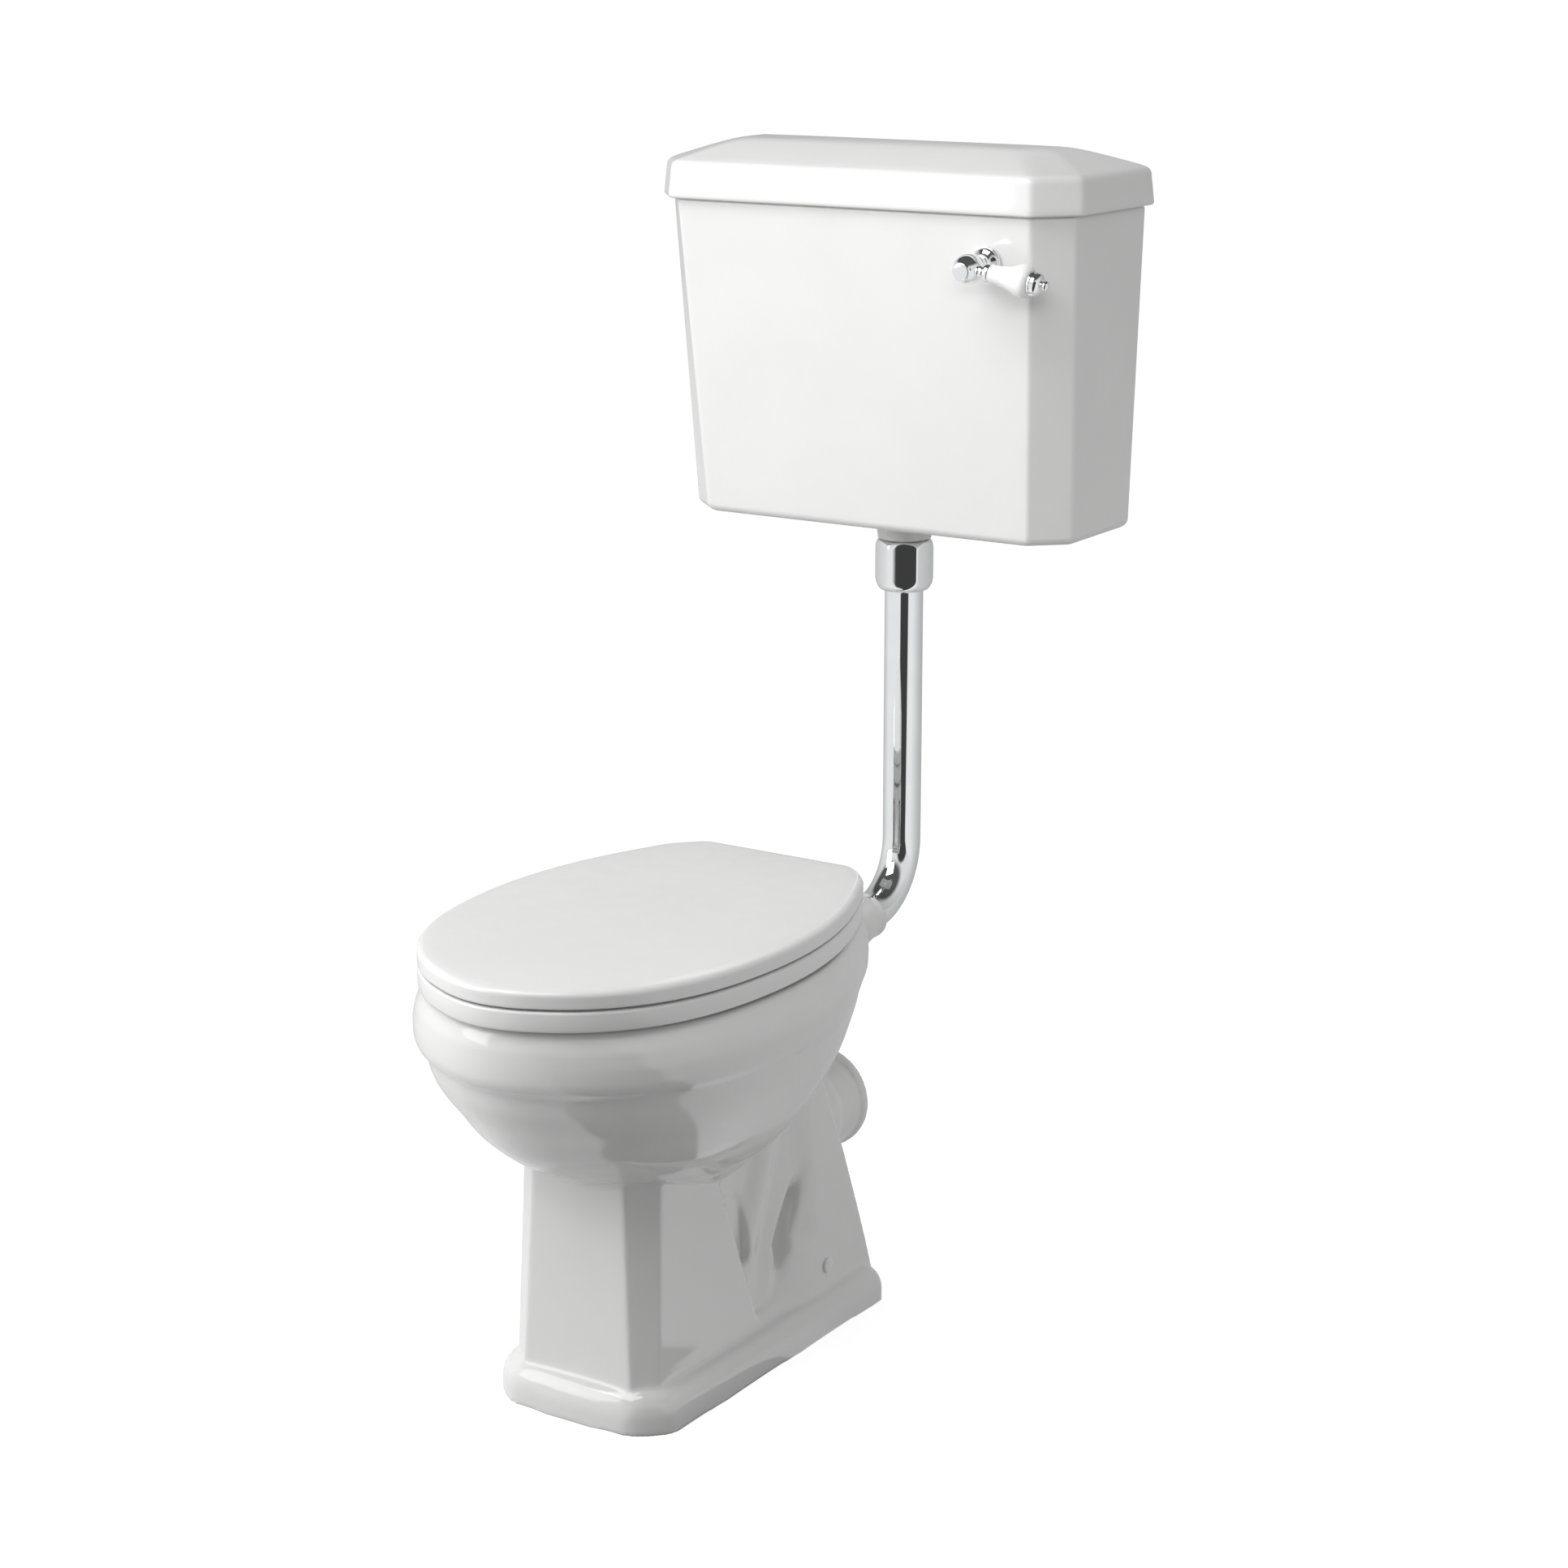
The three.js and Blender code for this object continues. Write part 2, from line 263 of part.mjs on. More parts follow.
// ---------------------------------------------------------------- cistern shell and lid
const lerp = (a, b, t) => a + (b - a) * t;
const cAt = (z, g) => { const t = (z - C_Z0) / (C_Z1 - C_Z0); return bev(lerp(C_BOT.w, C_TOP.w, t), lerp(C_BOT.d, C_TOP.d, t), lerp(C_BOT.cx, C_TOP.cx, t), lerp(C_BOT.cy, C_TOP.cy, t), z, g); };
{
  const flat = (ring, z) => ring.map(p => V(p.x, Math.min(p.y, 0), z));
  let body = loft([flat(cAt(C_Z0, -9), C_Z0), flat(cAt(C_Z0 + 2, -4), C_Z0 + 3), flat(cAt(C_Z0 + 9, 0), C_Z0 + 10), flat(cAt(C_Z1, 0), C_Z1)].map((r, i) => r.map(p => V(p.x, p.y > -12 ? 0 : p.y, p.z))));
  const cin = loft([cAt(C_Z0 + C_FLOOR, -C_WALL - 5), cAt(C_Z0 + C_FLOOR + 6, -C_WALL), cAt(C_Z1 + 2, -C_WALL)].map((r, i) => r.map(p => V(p.x, p.y, i === 2 ? C_Z1 + 2 : (i === 0 ? C_Z0 + C_FLOOR : C_Z0 + C_FLOOR + 7)))));
  body = body.subtract(cin);
  body = body.subtract(rod(TAIL_R + 1.5, [0, PIPE_Y, 700], [0, PIPE_Y, 760], 28));
  body = body.subtract(rod(7.8, [LEV_X, -200, LEV_Z], [LEV_X, -140, LEV_Z], 20));
  body = body.subtract(rod(11, [-230, FV_Y, FV_Z], [-190, FV_Y, FV_Z], 20));
  for (const s of [-1, 1]) body = body.subtract(rod(4, [s * 140, -30, 950], [s * 140, 10, 950], 12));
  put('cistern_body', body, china);

  const L = CL, f = L.skirt / 36;
  const lidAt = (z, g) => bev(L.w, L.d, L.cx, L.cy, z, g).map(p => V(p.x, Math.min(p.y, g < 0 ? g : 0), p.z));
  let lid = loft([lidAt(C_Z1 - 0, -2), lidAt(C_Z1 + 2, 0), lidAt(C_Z1 + L.skirt, -L.draft), lidAt(C_Z1 + L.skirt + 6, -L.draft - 3), lidAt(C_Z1 + L.skirt + 11, -L.draft - 10), lidAt(C_Z1 + L.skirt + 14, -L.draft - 26), lidAt(L.crown, -L.draft - 50)]
    .map(r => r.map(p => V(p.x, p.y > -60 ? Math.min(0, p.y * 0.25) : p.y, p.z))));
  lid = lid.add(box([-2, -2, C_Z1 + 20], [2, -0, C_Z1 + 22]));
  // hollow underneath, with the rim of the shell standing inside the skirt
  const inn = [[C_Z1 - 6, -6], [C_Z1 + 30, -9], [C_Z1 + 38, -22], [C_Z1 + 41, -40]].map(([z, g]) => bev(L.w, L.d, L.cx, L.cy, z, g).map(p => V(p.x, Math.min(p.y, -9), p.z)));
  lid = lid.subtract(loft(inn));
  // ribs inside that locate the lid and carry it on the shell
  const inside = g => loft([C_Z1 + GAP, C_Z1 + 32].map(z => cAt(C_Z1, g).map(p => V(p.x, p.y, z))));
  const ledge = loft([C_Z1 + GAP, C_Z1 + 36].map(z => bev(L.w, L.d, L.cx, L.cy, z, -4).map(p => V(p.x, Math.min(p.y, -5), p.z)))).subtract(loft([C_Z1 - 4, C_Z1 + 40].map(z => cAt(C_Z1, -C_WALL - 3).map(p => V(p.x, p.y, z)))));
  lid = lid.add(ledge);
  const lip = loft([C_Z1 - 8, C_Z1 + 4].map(z => cAt(C_Z1, -C_WALL - 2).map(p => V(p.x, p.y, z)))).subtract(loft([C_Z1 - 12, C_Z1 + 8].map(z => cAt(C_Z1, -C_WALL - 8).map(p => V(p.x, p.y, z)))));
  lid = lid.add(lip);
  lid = lid.subtract(box([-240, -15, C_Z1 - 20], [240, 5, C_Z1 + GAP]));
  put('cistern_lid', lid, china);
}

// ---------------------------------------------------------------- siphon in the cistern
const AT = (x, y, z) => [x, y, z];
{
  const y = PIPE_Y, top = 872;
  const arc = (r0, n = 6) => { const p = [[40, y, 858], [40, y, top + 4]]; for (let i = 1; i < n; i++) { const t = Math.PI * i / n; p.push([20 + 20 * Math.cos(t), y, top + 4 + 20 * Math.sin(t)]); } p.push([0, y, top + 4], [0, y, 858]); return p; };
  const N = V(0, 1, 0);
  let s = rod(LEG_R, AT(0, y, 738), AT(0, y, 868), 20)
    .add(swept(arc(), 19.4, 14, N))
    .add(rod(BELL_R, AT(BELL_X, y, BELL_Z0), AT(BELL_X, y, BELL_Z1), 24))
    .add(rod(TAIL_R, AT(0, y, TAIL_Z0), AT(0, y, 740), 24))
    .add(rod(34, AT(0, y, C_Z0 + C_FLOOR + 3.3), AT(0, y, C_Z0 + C_FLOOR + 8), 24))
    .add(box([14, y - 6, 770], [34, y + 6, 790])).add(box([14, y - 6, 830], [34, y + 6, 850]));
  s = s.subtract(rod(LEG_R - 2, AT(0, y, 690), AT(0, y, 864), 20)).subtract(rod(PIPE_R + 1, AT(0, y, TAIL_Z0 - 4), AT(0, y, 692), 20))
    .subtract(rod(BELL_R - 2.5, AT(BELL_X, y, BELL_Z0 - 4), AT(BELL_X, y, BELL_Z1 - 3), 24))
    .subtract(swept(arc(), 17, 14, N)).subtract(rod(3.5, AT(LIFT_X, y, 850), AT(LIFT_X, y, 900), 14));
  put('siphon_body', s, plastic);
  put('siphon_inner_washer', ringZ(TAIL_R + 1, 33, C_Z0 + C_FLOOR + GAP, C_Z0 + C_FLOOR + 3, [0, y], 20), rubber);
  put('siphon_outer_washer', ringZ(TAIL_R + 1, 31, C_Z0 - 3, C_Z0 - GAP, [0, y], 20), rubber);
  put('siphon_back_nut', turned([[TAIL_R + 1, NUT_Z1 + 1], [26.5, NUT_Z1 + 1], [28, C_Z0 - 14], [30, C_Z0 - 8], [31, C_Z0 - 3.3], [TAIL_R + 1, C_Z0 - 3.3], [TAIL_R + 1, NUT_Z1 + 1]], [0, y, 0], 'z', 20), plastic);
  put('siphon_piston', rod(30, AT(BELL_X, y, 757), AT(BELL_X, y, 760), 20).subtract(rod(9, AT(BELL_X - 14, y, 750), AT(BELL_X - 14, y, 770), 16)), plastic);
  put('siphon_diaphragm', rod(24, AT(BELL_X, y, 760.3), AT(BELL_X, y, 761.5), 20).subtract(rod(3.6, AT(LIFT_X, y, 750), AT(LIFT_X, y, 770), 14)), rubber);
  const z0 = LOOP_Z0, z1 = LOOP_Z1;
  put('lift_rod', rod(3, AT(LIFT_X, y, 760.3), AT(LIFT_X, y, z0 + 2), 14)
    .add(box([LIFT_X - 2, -86, z0], [LIFT_X + 2, -56, z1]).subtract(box([LIFT_X - 4, -83, z0 + 3], [LIFT_X + 4, -59, z1 - 3]))), steel);
}

// ---------------------------------------------------------------- flush lever, square to the sloping front
{
  const tilt = Math.atan((C_TOP.d - C_BOT.d) / (C_Z1 - C_Z0));
  const d = V(0, -Math.cos(tilt), -Math.sin(tilt)), yF = -lerp(C_BOT.d, C_TOP.d, (LEV_Z - C_Z0) / (C_Z1 - C_Z0));
  const O = V(LEV_X, yF, LEV_Z);
  const at = s => { const p = O.clone().addScaledVector(d, s); return [p.x, p.y, p.z]; };
  put('lever_rose', turned([[5.4, -22], [6.5, -22], [6.5, GAP], [14, GAP], [14, 2.5], [13, 4.5], [10.5, 6.5], [8, 9], [7.5, 12], [5.4, 12], [5.4, -22]], at(0), d, 20), chrome);
  put('lever_back_nut', turned([[6.8, -15], [12, -15], [12, -9.8], [6.8, -9.8], [6.8, -15]], at(0), d, 18), plastic);
  put('lever_spindle', turned([[0, -104], [5, -104], [5, 40], [0, 40]], at(0), d, 20), brass);
  const droop = 8 * Math.PI / 180;
  const up = V(0, -Math.sin(tilt), Math.cos(tilt));
  const h = V(1, 0, 0).multiplyScalar(Math.cos(droop)).addScaledVector(up, -Math.sin(droop));
  const H = s => { const p = O.clone().addScaledVector(d, 36).addScaledVector(h, s); return [p.x, p.y, p.z]; };
  put('lever_hub', turned([[0, 20], [6.5, 20], [9, 22], [12, 26], [13.8, 31], [14, 35.5], [13.2, 40], [11, 44.4], [9.2, 47], [8.4, 48.6], [7, 49.8], [0, 50]], at(0), d, 18)
    .add(turned([[0, 0], [6.5, 0], [6, 16], [8.6, 19], [9.2, 22], [9.2, 23.5], [0, 23.5]], H(0), h, 16)).subtract(turned([[0, -10], [5.3, -10], [5.3, 40.5], [0, 40.5]], at(0), d, 20)), chrome);
  put('lever_handle', turned([[0, 23.8], [8.8, 23.8], [8.8, 30], [9.4, 36], [10.8, 43], [13.2, 50], [14.8, 56], [14.6, 60], [12, 63.4], [0, 63.4]], H(0), h, 16), porcelain);
  put('lever_end_cap', turned([[0, 63.7], [11, 63.7], [11, 66], [10.2, 68.6], [7.8, 71.8], [4, 74], [2.9, 74.8], [4.4, 77], [4.5, 79], [3.2, 81], [0, 81.7]], H(0), h, 14), chrome);
  // inner arm, clamped on the spindle
  const A = O.clone().addScaledVector(d, -100);
  const M = new THREE.Matrix4().makeBasis(V(1, 0, 0), d.clone().negate(), up).setPosition(A);
  let arm = solid(new THREE.BoxGeometry(92, 4, 10), new THREE.Matrix4().multiplyMatrices(M, new THREE.Matrix4().makeTranslation(-46, 0, 0)))
    .add(turned([[0, -104 + 1], [9.5, -103], [9.5, -94], [0, -94]], at(0), d, 20)).subtract(turned([[0, -112], [5.3, -112], [5.3, -80], [0, -80]], at(0), d, 20));
  put('lever_arm', arm, brass);
}

// ---------------------------------------------------------------- fill valve and float
{
  const y = FV_Y, z = FV_Z;
  let v = rod(10.2, AT(-226.6, y, z), AT(-200, y, z), 18).add(rod(16, AT(-202.2, y, z), AT(-198, y, z), 24)).add(rod(12, AT(-200, y, z), AT(-158, y, z), 20))
    .add(box([-166, y - 9, z - 18], [-142, y - 5, z + 6])).add(box([-166, y + 5, z - 18], [-142, y + 9, z + 6])).add(rod(9, AT(-180, y, z - 22), AT(-180, y, z), 20));
  v = v.subtract(rod(4, AT(-230, y, z), AT(-178, y, z), 14)).subtract(rod(6, AT(-180, y, z), AT(-150, y, z), 16)).subtract(rod(5, AT(-180, y, z - 30), AT(-180, y, z), 14))
    .subtract(rod(2.4, AT(-150, y - 14, z - 10), AT(-150, y + 14, z - 10), 12));
  put('fill_valve_body', v, brass);
  put('fill_valve_washer', turned([[10.8, 0], [15, 0], [15, 2.2], [10.8, 2.2], [10.8, 0]], AT(-204.8, y, z), 'x', 24), rubber);
  put('fill_valve_back_nut', turned([[10.9, 0], [15.5, 0], [15.5, 4.6], [10.9, 4.6], [10.9, 0]], AT(-221.2, y, z), 'x', 18), plastic);
  put('fill_valve_plunger', rod(5.6, AT(-172, y, z), AT(-155, y, z), 16), plastic);
  put('fill_tube', turned([[9.5, 0], [11.6, 0], [11.6, -13], [8, -19], [8, -190], [5.5, -190], [5.5, -18], [9.5, -12], [9.5, 0]].reverse(), AT(-180, y, z - 12.6), 'z', 16), plastic);
  put('float_arm_pin', rod(2, AT(-150, y - 11, z - 10), AT(-150, y + 11, z - 10), 12), steel);
  // arm: eye on the pin, heel behind the plunger, rod to the ball
  const P = [-150, y, z - 10], B = [-78, y, z - 32], u = V(B[0] - P[0], 0, B[2] - P[2]).normalize();
  let arm = rod(5, AT(P[0], y - 4, P[2]), AT(P[0], y + 4, P[2]), 16).add(rod(2.6, P, AT(P[0] + u.x * 54, y, P[2] + u.z * 54), 12)).add(box([-153.6, y - 3, z - 9], [-149, y + 3, z + 5]));
  arm = arm.subtract(rod(2.4, AT(P[0], y - 6, P[2]), AT(P[0], y + 6, P[2]), 12));
  put('float_arm', arm, brass);
  const ball = solid(new THREE.SphereGeometry(FLOAT_R, 16, 10), new THREE.Matrix4().makeTranslation(...B));
  put('float_ball', ball.subtract(rod(3.1, AT(B[0] - u.x * 60, y, B[2] - u.z * 60), AT(B[0] - u.x * 20, y, B[2] - u.z * 20), 12)), floatP);
}

// ---------------------------------------------------------------- fixings to wall and floor
for (const [side, s] of [['left', -1], ['right', 1]]) {
  put('cistern_screw_' + side, turned([[0, 0.3], [3.4, 0.3], [3.4, 9.4], [8, 9.4], [8, 11], [6, 13.4], [0, 14]], AT(s * 140, 0, 950), '-y', 16), steel);
  put('floor_bracket_' + side, box([s * 60, -360, 0.4], [s * 63, -330, 72]).add(box([s * 22, -360, 0.4], [s * 63, -330, 3.4])).subtract(rod(3.8, AT(s * 50, -345, 60), AT(s * 70, -345, 60), 14)).subtract(rod(3.8, AT(s * 36, -345, -2), AT(s * 36, -345, 8), 14)), steel);
  put('bracket_screw_' + side, turned([[0, 0.4], [3.2, 0.4], [3.2, 3.7], [6.4, 3.7], [5.6, 6.4], [0, 7]], AT(s * 36, -345, 0), 'z', 16), steel);
  put('pan_screw_' + side, rod(3.2, AT(s * 54, -345, 60), AT(s * 80, -345, 60), 14).add(rod(6, AT(s * 79.3, -345, 60), AT(s * 82.5, -345, 60), 16)), steel);
  put('screw_cap_' + side, turned([[0, 82.8], [7.5, 82.8], [7.5, 87.5], [6.3, 89], [0, 89.3]], AT(0, -345, 60), s > 0 ? 'x' : '-x', 20), seatW);
}
export default top;
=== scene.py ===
"""Looks for the low-level toilet: smooth glazed china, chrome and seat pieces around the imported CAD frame."""
import bpy, bmesh, math, json
import numpy as np
from mathutils import Vector, Matrix


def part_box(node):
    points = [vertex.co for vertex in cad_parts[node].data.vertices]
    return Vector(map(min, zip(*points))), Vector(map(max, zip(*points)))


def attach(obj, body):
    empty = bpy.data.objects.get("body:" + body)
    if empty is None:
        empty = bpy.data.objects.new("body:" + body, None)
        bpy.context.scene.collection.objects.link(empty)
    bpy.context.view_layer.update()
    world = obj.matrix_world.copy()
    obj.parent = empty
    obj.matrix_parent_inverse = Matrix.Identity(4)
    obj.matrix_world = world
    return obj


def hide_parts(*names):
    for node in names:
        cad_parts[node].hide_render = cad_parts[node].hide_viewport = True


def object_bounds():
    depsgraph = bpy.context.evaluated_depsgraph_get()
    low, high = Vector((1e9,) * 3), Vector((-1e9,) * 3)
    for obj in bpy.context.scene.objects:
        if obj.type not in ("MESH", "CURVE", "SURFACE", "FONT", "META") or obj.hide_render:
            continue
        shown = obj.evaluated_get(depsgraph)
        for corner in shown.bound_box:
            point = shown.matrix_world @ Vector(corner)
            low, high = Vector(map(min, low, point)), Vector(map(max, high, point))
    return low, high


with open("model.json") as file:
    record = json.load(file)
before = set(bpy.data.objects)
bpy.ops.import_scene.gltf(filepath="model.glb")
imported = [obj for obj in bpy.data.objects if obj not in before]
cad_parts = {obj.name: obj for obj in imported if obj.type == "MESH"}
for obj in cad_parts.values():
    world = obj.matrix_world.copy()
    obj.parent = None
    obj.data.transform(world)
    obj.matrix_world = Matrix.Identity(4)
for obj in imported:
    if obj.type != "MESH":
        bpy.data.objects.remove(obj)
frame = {"nodes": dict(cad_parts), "record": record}
CAD_LO, CAD_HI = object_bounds()
NODES = frame["nodes"]
MM = 0.001
OY = CAD_HI.y            # the wall face is the back of the object's box

# ------------------------------------------------------------------ materials
def new_mat(name):
    m = bpy.data.materials.new(name)
    m.use_nodes = True
    nt = m.node_tree
    nt.nodes.clear()
    out = nt.nodes.new("ShaderNodeOutputMaterial")
    b = nt.nodes.new("ShaderNodeBsdfPrincipled")
    nt.links.new(b.outputs[0], out.inputs[0])
    return m, nt, b

def coords(nt):
    return nt.nodes.new("ShaderNodeTexCoord").outputs["Object"]

def noise(nt, vec, scale, detail=3.0, rough=0.5, dist=0.0):
    n = nt.nodes.new("ShaderNodeTexNoise")
    nt.links.new(vec, n.inputs["Vector"])
    n.inputs["Scale"].default_value = scale
    n.inputs["Detail"].default_value = detail
    n.inputs["Roughness"].default_value = rough
    n.inputs["Distortion"].default_value = dist
    return n.outputs["Fac"]

def ramp(nt, fac, lo, hi, p0=0.3, p1=0.7):
    r = nt.nodes.new("ShaderNodeMapRange")
    r.inputs["From Min"].default_value = p0
    r.inputs["From Max"].default_value = p1
    r.inputs["To Min"].default_value = lo
    r.inputs["To Max"].default_value = hi
    nt.links.new(fac, r.inputs["Value"])
    return r.outputs["Result"]

def mix(nt, fac, a, b):
    m = nt.nodes.new("ShaderNodeMix")
    m.data_type = "RGBA"
    nt.links.new(fac, m.inputs["Factor"])
    m.inputs["A"].default_value = (*a, 1)
    m.inputs["B"].default_value = (*b, 1)
    return m.outputs["Result"]

def bump(nt, height, strength, dist, prev=None):
    b = nt.nodes.new("ShaderNodeBump")
    b.inputs["Strength"].default_value = strength
    b.inputs["Distance"].default_value = dist
    nt.links.new(height, b.inputs["Height"])
    if prev is not None:
        nt.links.new(prev, b.inputs["Normal"])
    return b.outputs["Normal"]

def china_mat(name, base=(0.80, 0.80, 0.795), wave=0.22):
    """Vitreous china under a thick clear glaze: faint mottling, a slow ripple and a fine orange peel."""
    m, nt, b = new_mat(name)
    v = coords(nt)
    n1 = noise(nt, v, 9.0, 4, 0.55, 0.4)
    c2 = tuple(min(1, c * 1.035) for c in base)
    col = mix(nt, ramp(nt, n1, 0, 1), base, c2)
    nt.links.new(col, b.inputs["Base Color"])
    nt.links.new(ramp(nt, noise(nt, v, 34.0, 3), 0.05, 0.105), b.inputs["Roughness"])
    b.inputs["IOR"].default_value = 1.5
    b.inputs["Coat Weight"].default_value = 0.35
    b.inputs["Coat Roughness"].default_value = 0.03
    n = bump(nt, noise(nt, v, 11.0, 1.5), wave, 0.0045)
    n = bump(nt, noise(nt, v, 240.0, 2), 0.03, 0.0006, n)
    nt.links.new(n, b.inputs["Normal"])
    return m

def seat_mat(name):
    """Moulded thermoset seat: even white with a soft sheen and a very fine moulding texture."""
    m, nt, b = new_mat(name)
    v = coords(nt)
    col = mix(nt, ramp(nt, noise(nt, v, 6.0, 3, 0.5), 0, 1), (0.84, 0.84, 0.835), (0.87, 0.87, 0.865))
    nt.links.new(col, b.inputs["Base Color"])
    nt.links.new(ramp(nt, noise(nt, v, 55.0, 4), 0.16, 0.26), b.inputs["Roughness"])
    b.inputs["IOR"].default_value = 1.49
    b.inputs["Coat Weight"].default_value = 0.2
    b.inputs["Coat Roughness"].default_value = 0.12
    n = bump(nt, noise(nt, v, 7.0, 1), 0.12, 0.003)
    n = bump(nt, noise(nt, v, 900.0, 2), 0.05, 0.0003, n)
    nt.links.new(n, b.inputs["Normal"])
    return m

def chrome_mat(name):
    m, nt, b = new_mat(name)
    v = coords(nt)
    col = mix(nt, ramp(nt, noise(nt, v, 30.0, 3), 0, 1), (0.86, 0.87, 0.88), (0.91, 0.915, 0.92))
    nt.links.new(col, b.inputs["Base Color"])
    b.inputs["Metallic"].default_value = 1.0
    nt.links.new(ramp(nt, noise(nt, v, 120.0, 4, 0.6), 0.025, 0.07), b.inputs["Roughness"])
    n = bump(nt, noise(nt, v, 26.0, 1), 0.05, 0.0015)
    nt.links.new(n, b.inputs["Normal"])
    return m

def porcelain_mat(name):
    m, nt, b = new_mat(name)
    v = coords(nt)
    col = mix(nt, ramp(nt, noise(nt, v, 40.0, 3), 0, 1), (0.90, 0.895, 0.885), (0.94, 0.94, 0.935))
    nt.links.new(col, b.inputs["Base Color"])
    nt.links.new(ramp(nt, noise(nt, v, 90.0, 2), 0.05, 0.11), b.inputs["Roughness"])
    b.inputs["Subsurface Weight"].default_value = 0.08
    b.inputs["Subsurface Radius"].default_value = (0.004, 0.004, 0.0035)
    b.inputs["Coat Weight"].default_value = 0.5
    b.inputs["Coat Roughness"].default_value = 0.03
    nt.links.new(bump(nt, noise(nt, v, 60.0, 1), 0.06, 0.0012), b.inputs["Normal"])
    return m

def metal_mat(name, c1, c2, r0, r1, scale, stretch=(1, 1, 1), bumpy=0.08):
    """Worked metal with fine tool lines along one way."""
    m, nt, b = new_mat(name)
    v = coords(nt)
    mp = nt.nodes.new("ShaderNodeMapping")
    mp.inputs["Scale"].default_value = stretch
    nt.links.new(v, mp.inputs["Vector"])
    lines = noise(nt, mp.outputs[0], scale, 4, 0.6)
    col = mix(nt, ramp(nt, noise(nt, v, 45.0, 4, 0.6), 0, 1), c1, c2)
    nt.links.new(col, b.inputs["Base Color"])
    b.inputs["Metallic"].default_value = 1.0
    nt.links.new(ramp(nt, lines, r0, r1), b.inputs["Roughness"])
    nt.links.new(bump(nt, lines, bumpy, 0.0004), b.inputs["Normal"])
    return m

def soft_mat(name, c1, c2, r0, r1, scale, bumpy=0.15, dist=0.0005, ior=1.46):
    """Rubber and moulded plastic with a fine grain and handling marks."""
    m, nt, b = new_mat(name)
    v = coords(nt)
    col = mix(nt, ramp(nt, noise(nt, v, 28.0, 4, 0.6), 0, 1), c1, c2)
    nt.links.new(col, b.inputs["Base Color"])
    nt.links.new(ramp(nt, noise(nt, v, scale * 0.3, 4), r0, r1), b.inputs["Roughness"])
    b.inputs["IOR"].default_value = ior
    nt.links.new(bump(nt, noise(nt, v, scale, 3), bumpy, dist), b.inputs["Normal"])
    return m

MAT = {
    "china": china_mat("glazed_china"),
    "seat_plastic": seat_mat("seat_white"),
    "chrome": chrome_mat("polished_chrome"),
    "porcelain": porcelain_mat("porcelain_white"),
    "rubber": soft_mat("black_rubber", (0.022, 0.022, 0.023), (0.04, 0.04, 0.04), 0.55, 0.8, 700.0),
    "plastic": soft_mat("moulded_plastic", (0.66, 0.66, 0.64), (0.74, 0.74, 0.72), 0.3, 0.48, 500.0, 0.1),
    "brass": metal_mat("machined_brass", (0.62, 0.45, 0.19), (0.72, 0.55, 0.27), 0.16, 0.36, 300.0, (1, 1, 6)),
    "steel": metal_mat("plated_steel", (0.55, 0.56, 0.57), (0.66, 0.67, 0.68), 0.18, 0.4, 350.0, (4, 1, 1)),
    "float_plastic": soft_mat("float_grey", (0.06, 0.062, 0.068), (0.085, 0.088, 0.095), 0.28, 0.46, 420.0, 0.12),
}
SLOT = {s["node"]: s["material_slot"] for s in frame["record"]["subparts"]}
BODY = {n: b for b, ns in frame["record"]["behaviour"]["bodies"].items() for n in ns}
for n, o in NODES.items():
    m = MAT[SLOT[n]]
    if o.material_slots:
        for s in o.material_slots:
            s.material = m
    else:
        o.data.materials.append(m)

# ------------------------------------------------------------------ mesh helpers (millimetres, y = 0 at the wall)
def to_row(v):
    v = np.asarray(v, float)
    return np.stack([v[:, 0] * MM, v[:, 1] * MM + OY, v[:, 2] * MM], 1)

def make(name, verts, faces, slot, body, *replaces, weighted=True, bevel=0.0, angle=None):
    me = bpy.data.meshes.new(name)
    me.from_pydata(to_row(verts).tolist(), [], [list(map(int, f)) for f in faces])
    me.update()
    bm = bmesh.new()
    bm.from_mesh(me)
    bmesh.ops.remove_doubles(bm, verts=bm.verts, dist=1e-6)
    bmesh.ops.recalc_face_normals(bm, faces=bm.faces)
    bm.to_mesh(me)
    bm.free()
    me.shade_smooth()
    if angle is not None:
        me.set_sharp_from_angle(angle=math.radians(angle))
    o = bpy.data.objects.new(name, me)
    bpy.context.scene.collection.objects.link(o)
    me.materials.append(MAT[slot])
    if bevel:
        b = o.modifiers.new("bevel", "BEVEL")
        b.width = bevel * MM
        b.segments = 3
        b.limit_method = "ANGLE"
        b.angle_limit = math.radians(40)
    if weighted:
        w = o.modifiers.new("normals", "WEIGHTED_NORMAL")
        w.keep_sharp = True
        w.weight = 50
    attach(o, body)
    if replaces:
        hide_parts(*replaces)
    return o

def loft(rings, cap0=True, cap1=True, close=False):
    """Quads between rings of equal point count; close joins the last ring back to the first."""
    n = len(rings[0])
    v = np.concatenate([np.asarray(r, float) for r in rings])
    f = []
    R = len(rings)
    for r in range(R if close else R - 1):
        a, b = r * n, ((r + 1) % R) * n
        for i in range(n):
            j = (i + 1) % n
            f.append((a + i, a + j, b + j, b + i))
    if not close:
        if cap0:
            f.append(tuple(range(n))[::-1])
        if cap1:
            f.append(tuple(range((R - 1) * n, R * n)))
    return v, f

def join(*parts):
    vs, fs, k = [], [], 0
    for v, f in parts:
        vs.append(np.asarray(v, float))
        fs += [tuple(i + k for i in q) for q in f]
        k += len(v)
    return np.concatenate(vs), fs

def basis(d):
    d = Vector(d).normalized()
    a = Vector((0, 0, 1)) if abs(d.z) < 0.9 else Vector((1, 0, 0))
    u = d.cross(a).normalized()
    w = d.cross(u).normalized()
    return np.array(u), np.array(w), np.array(d)

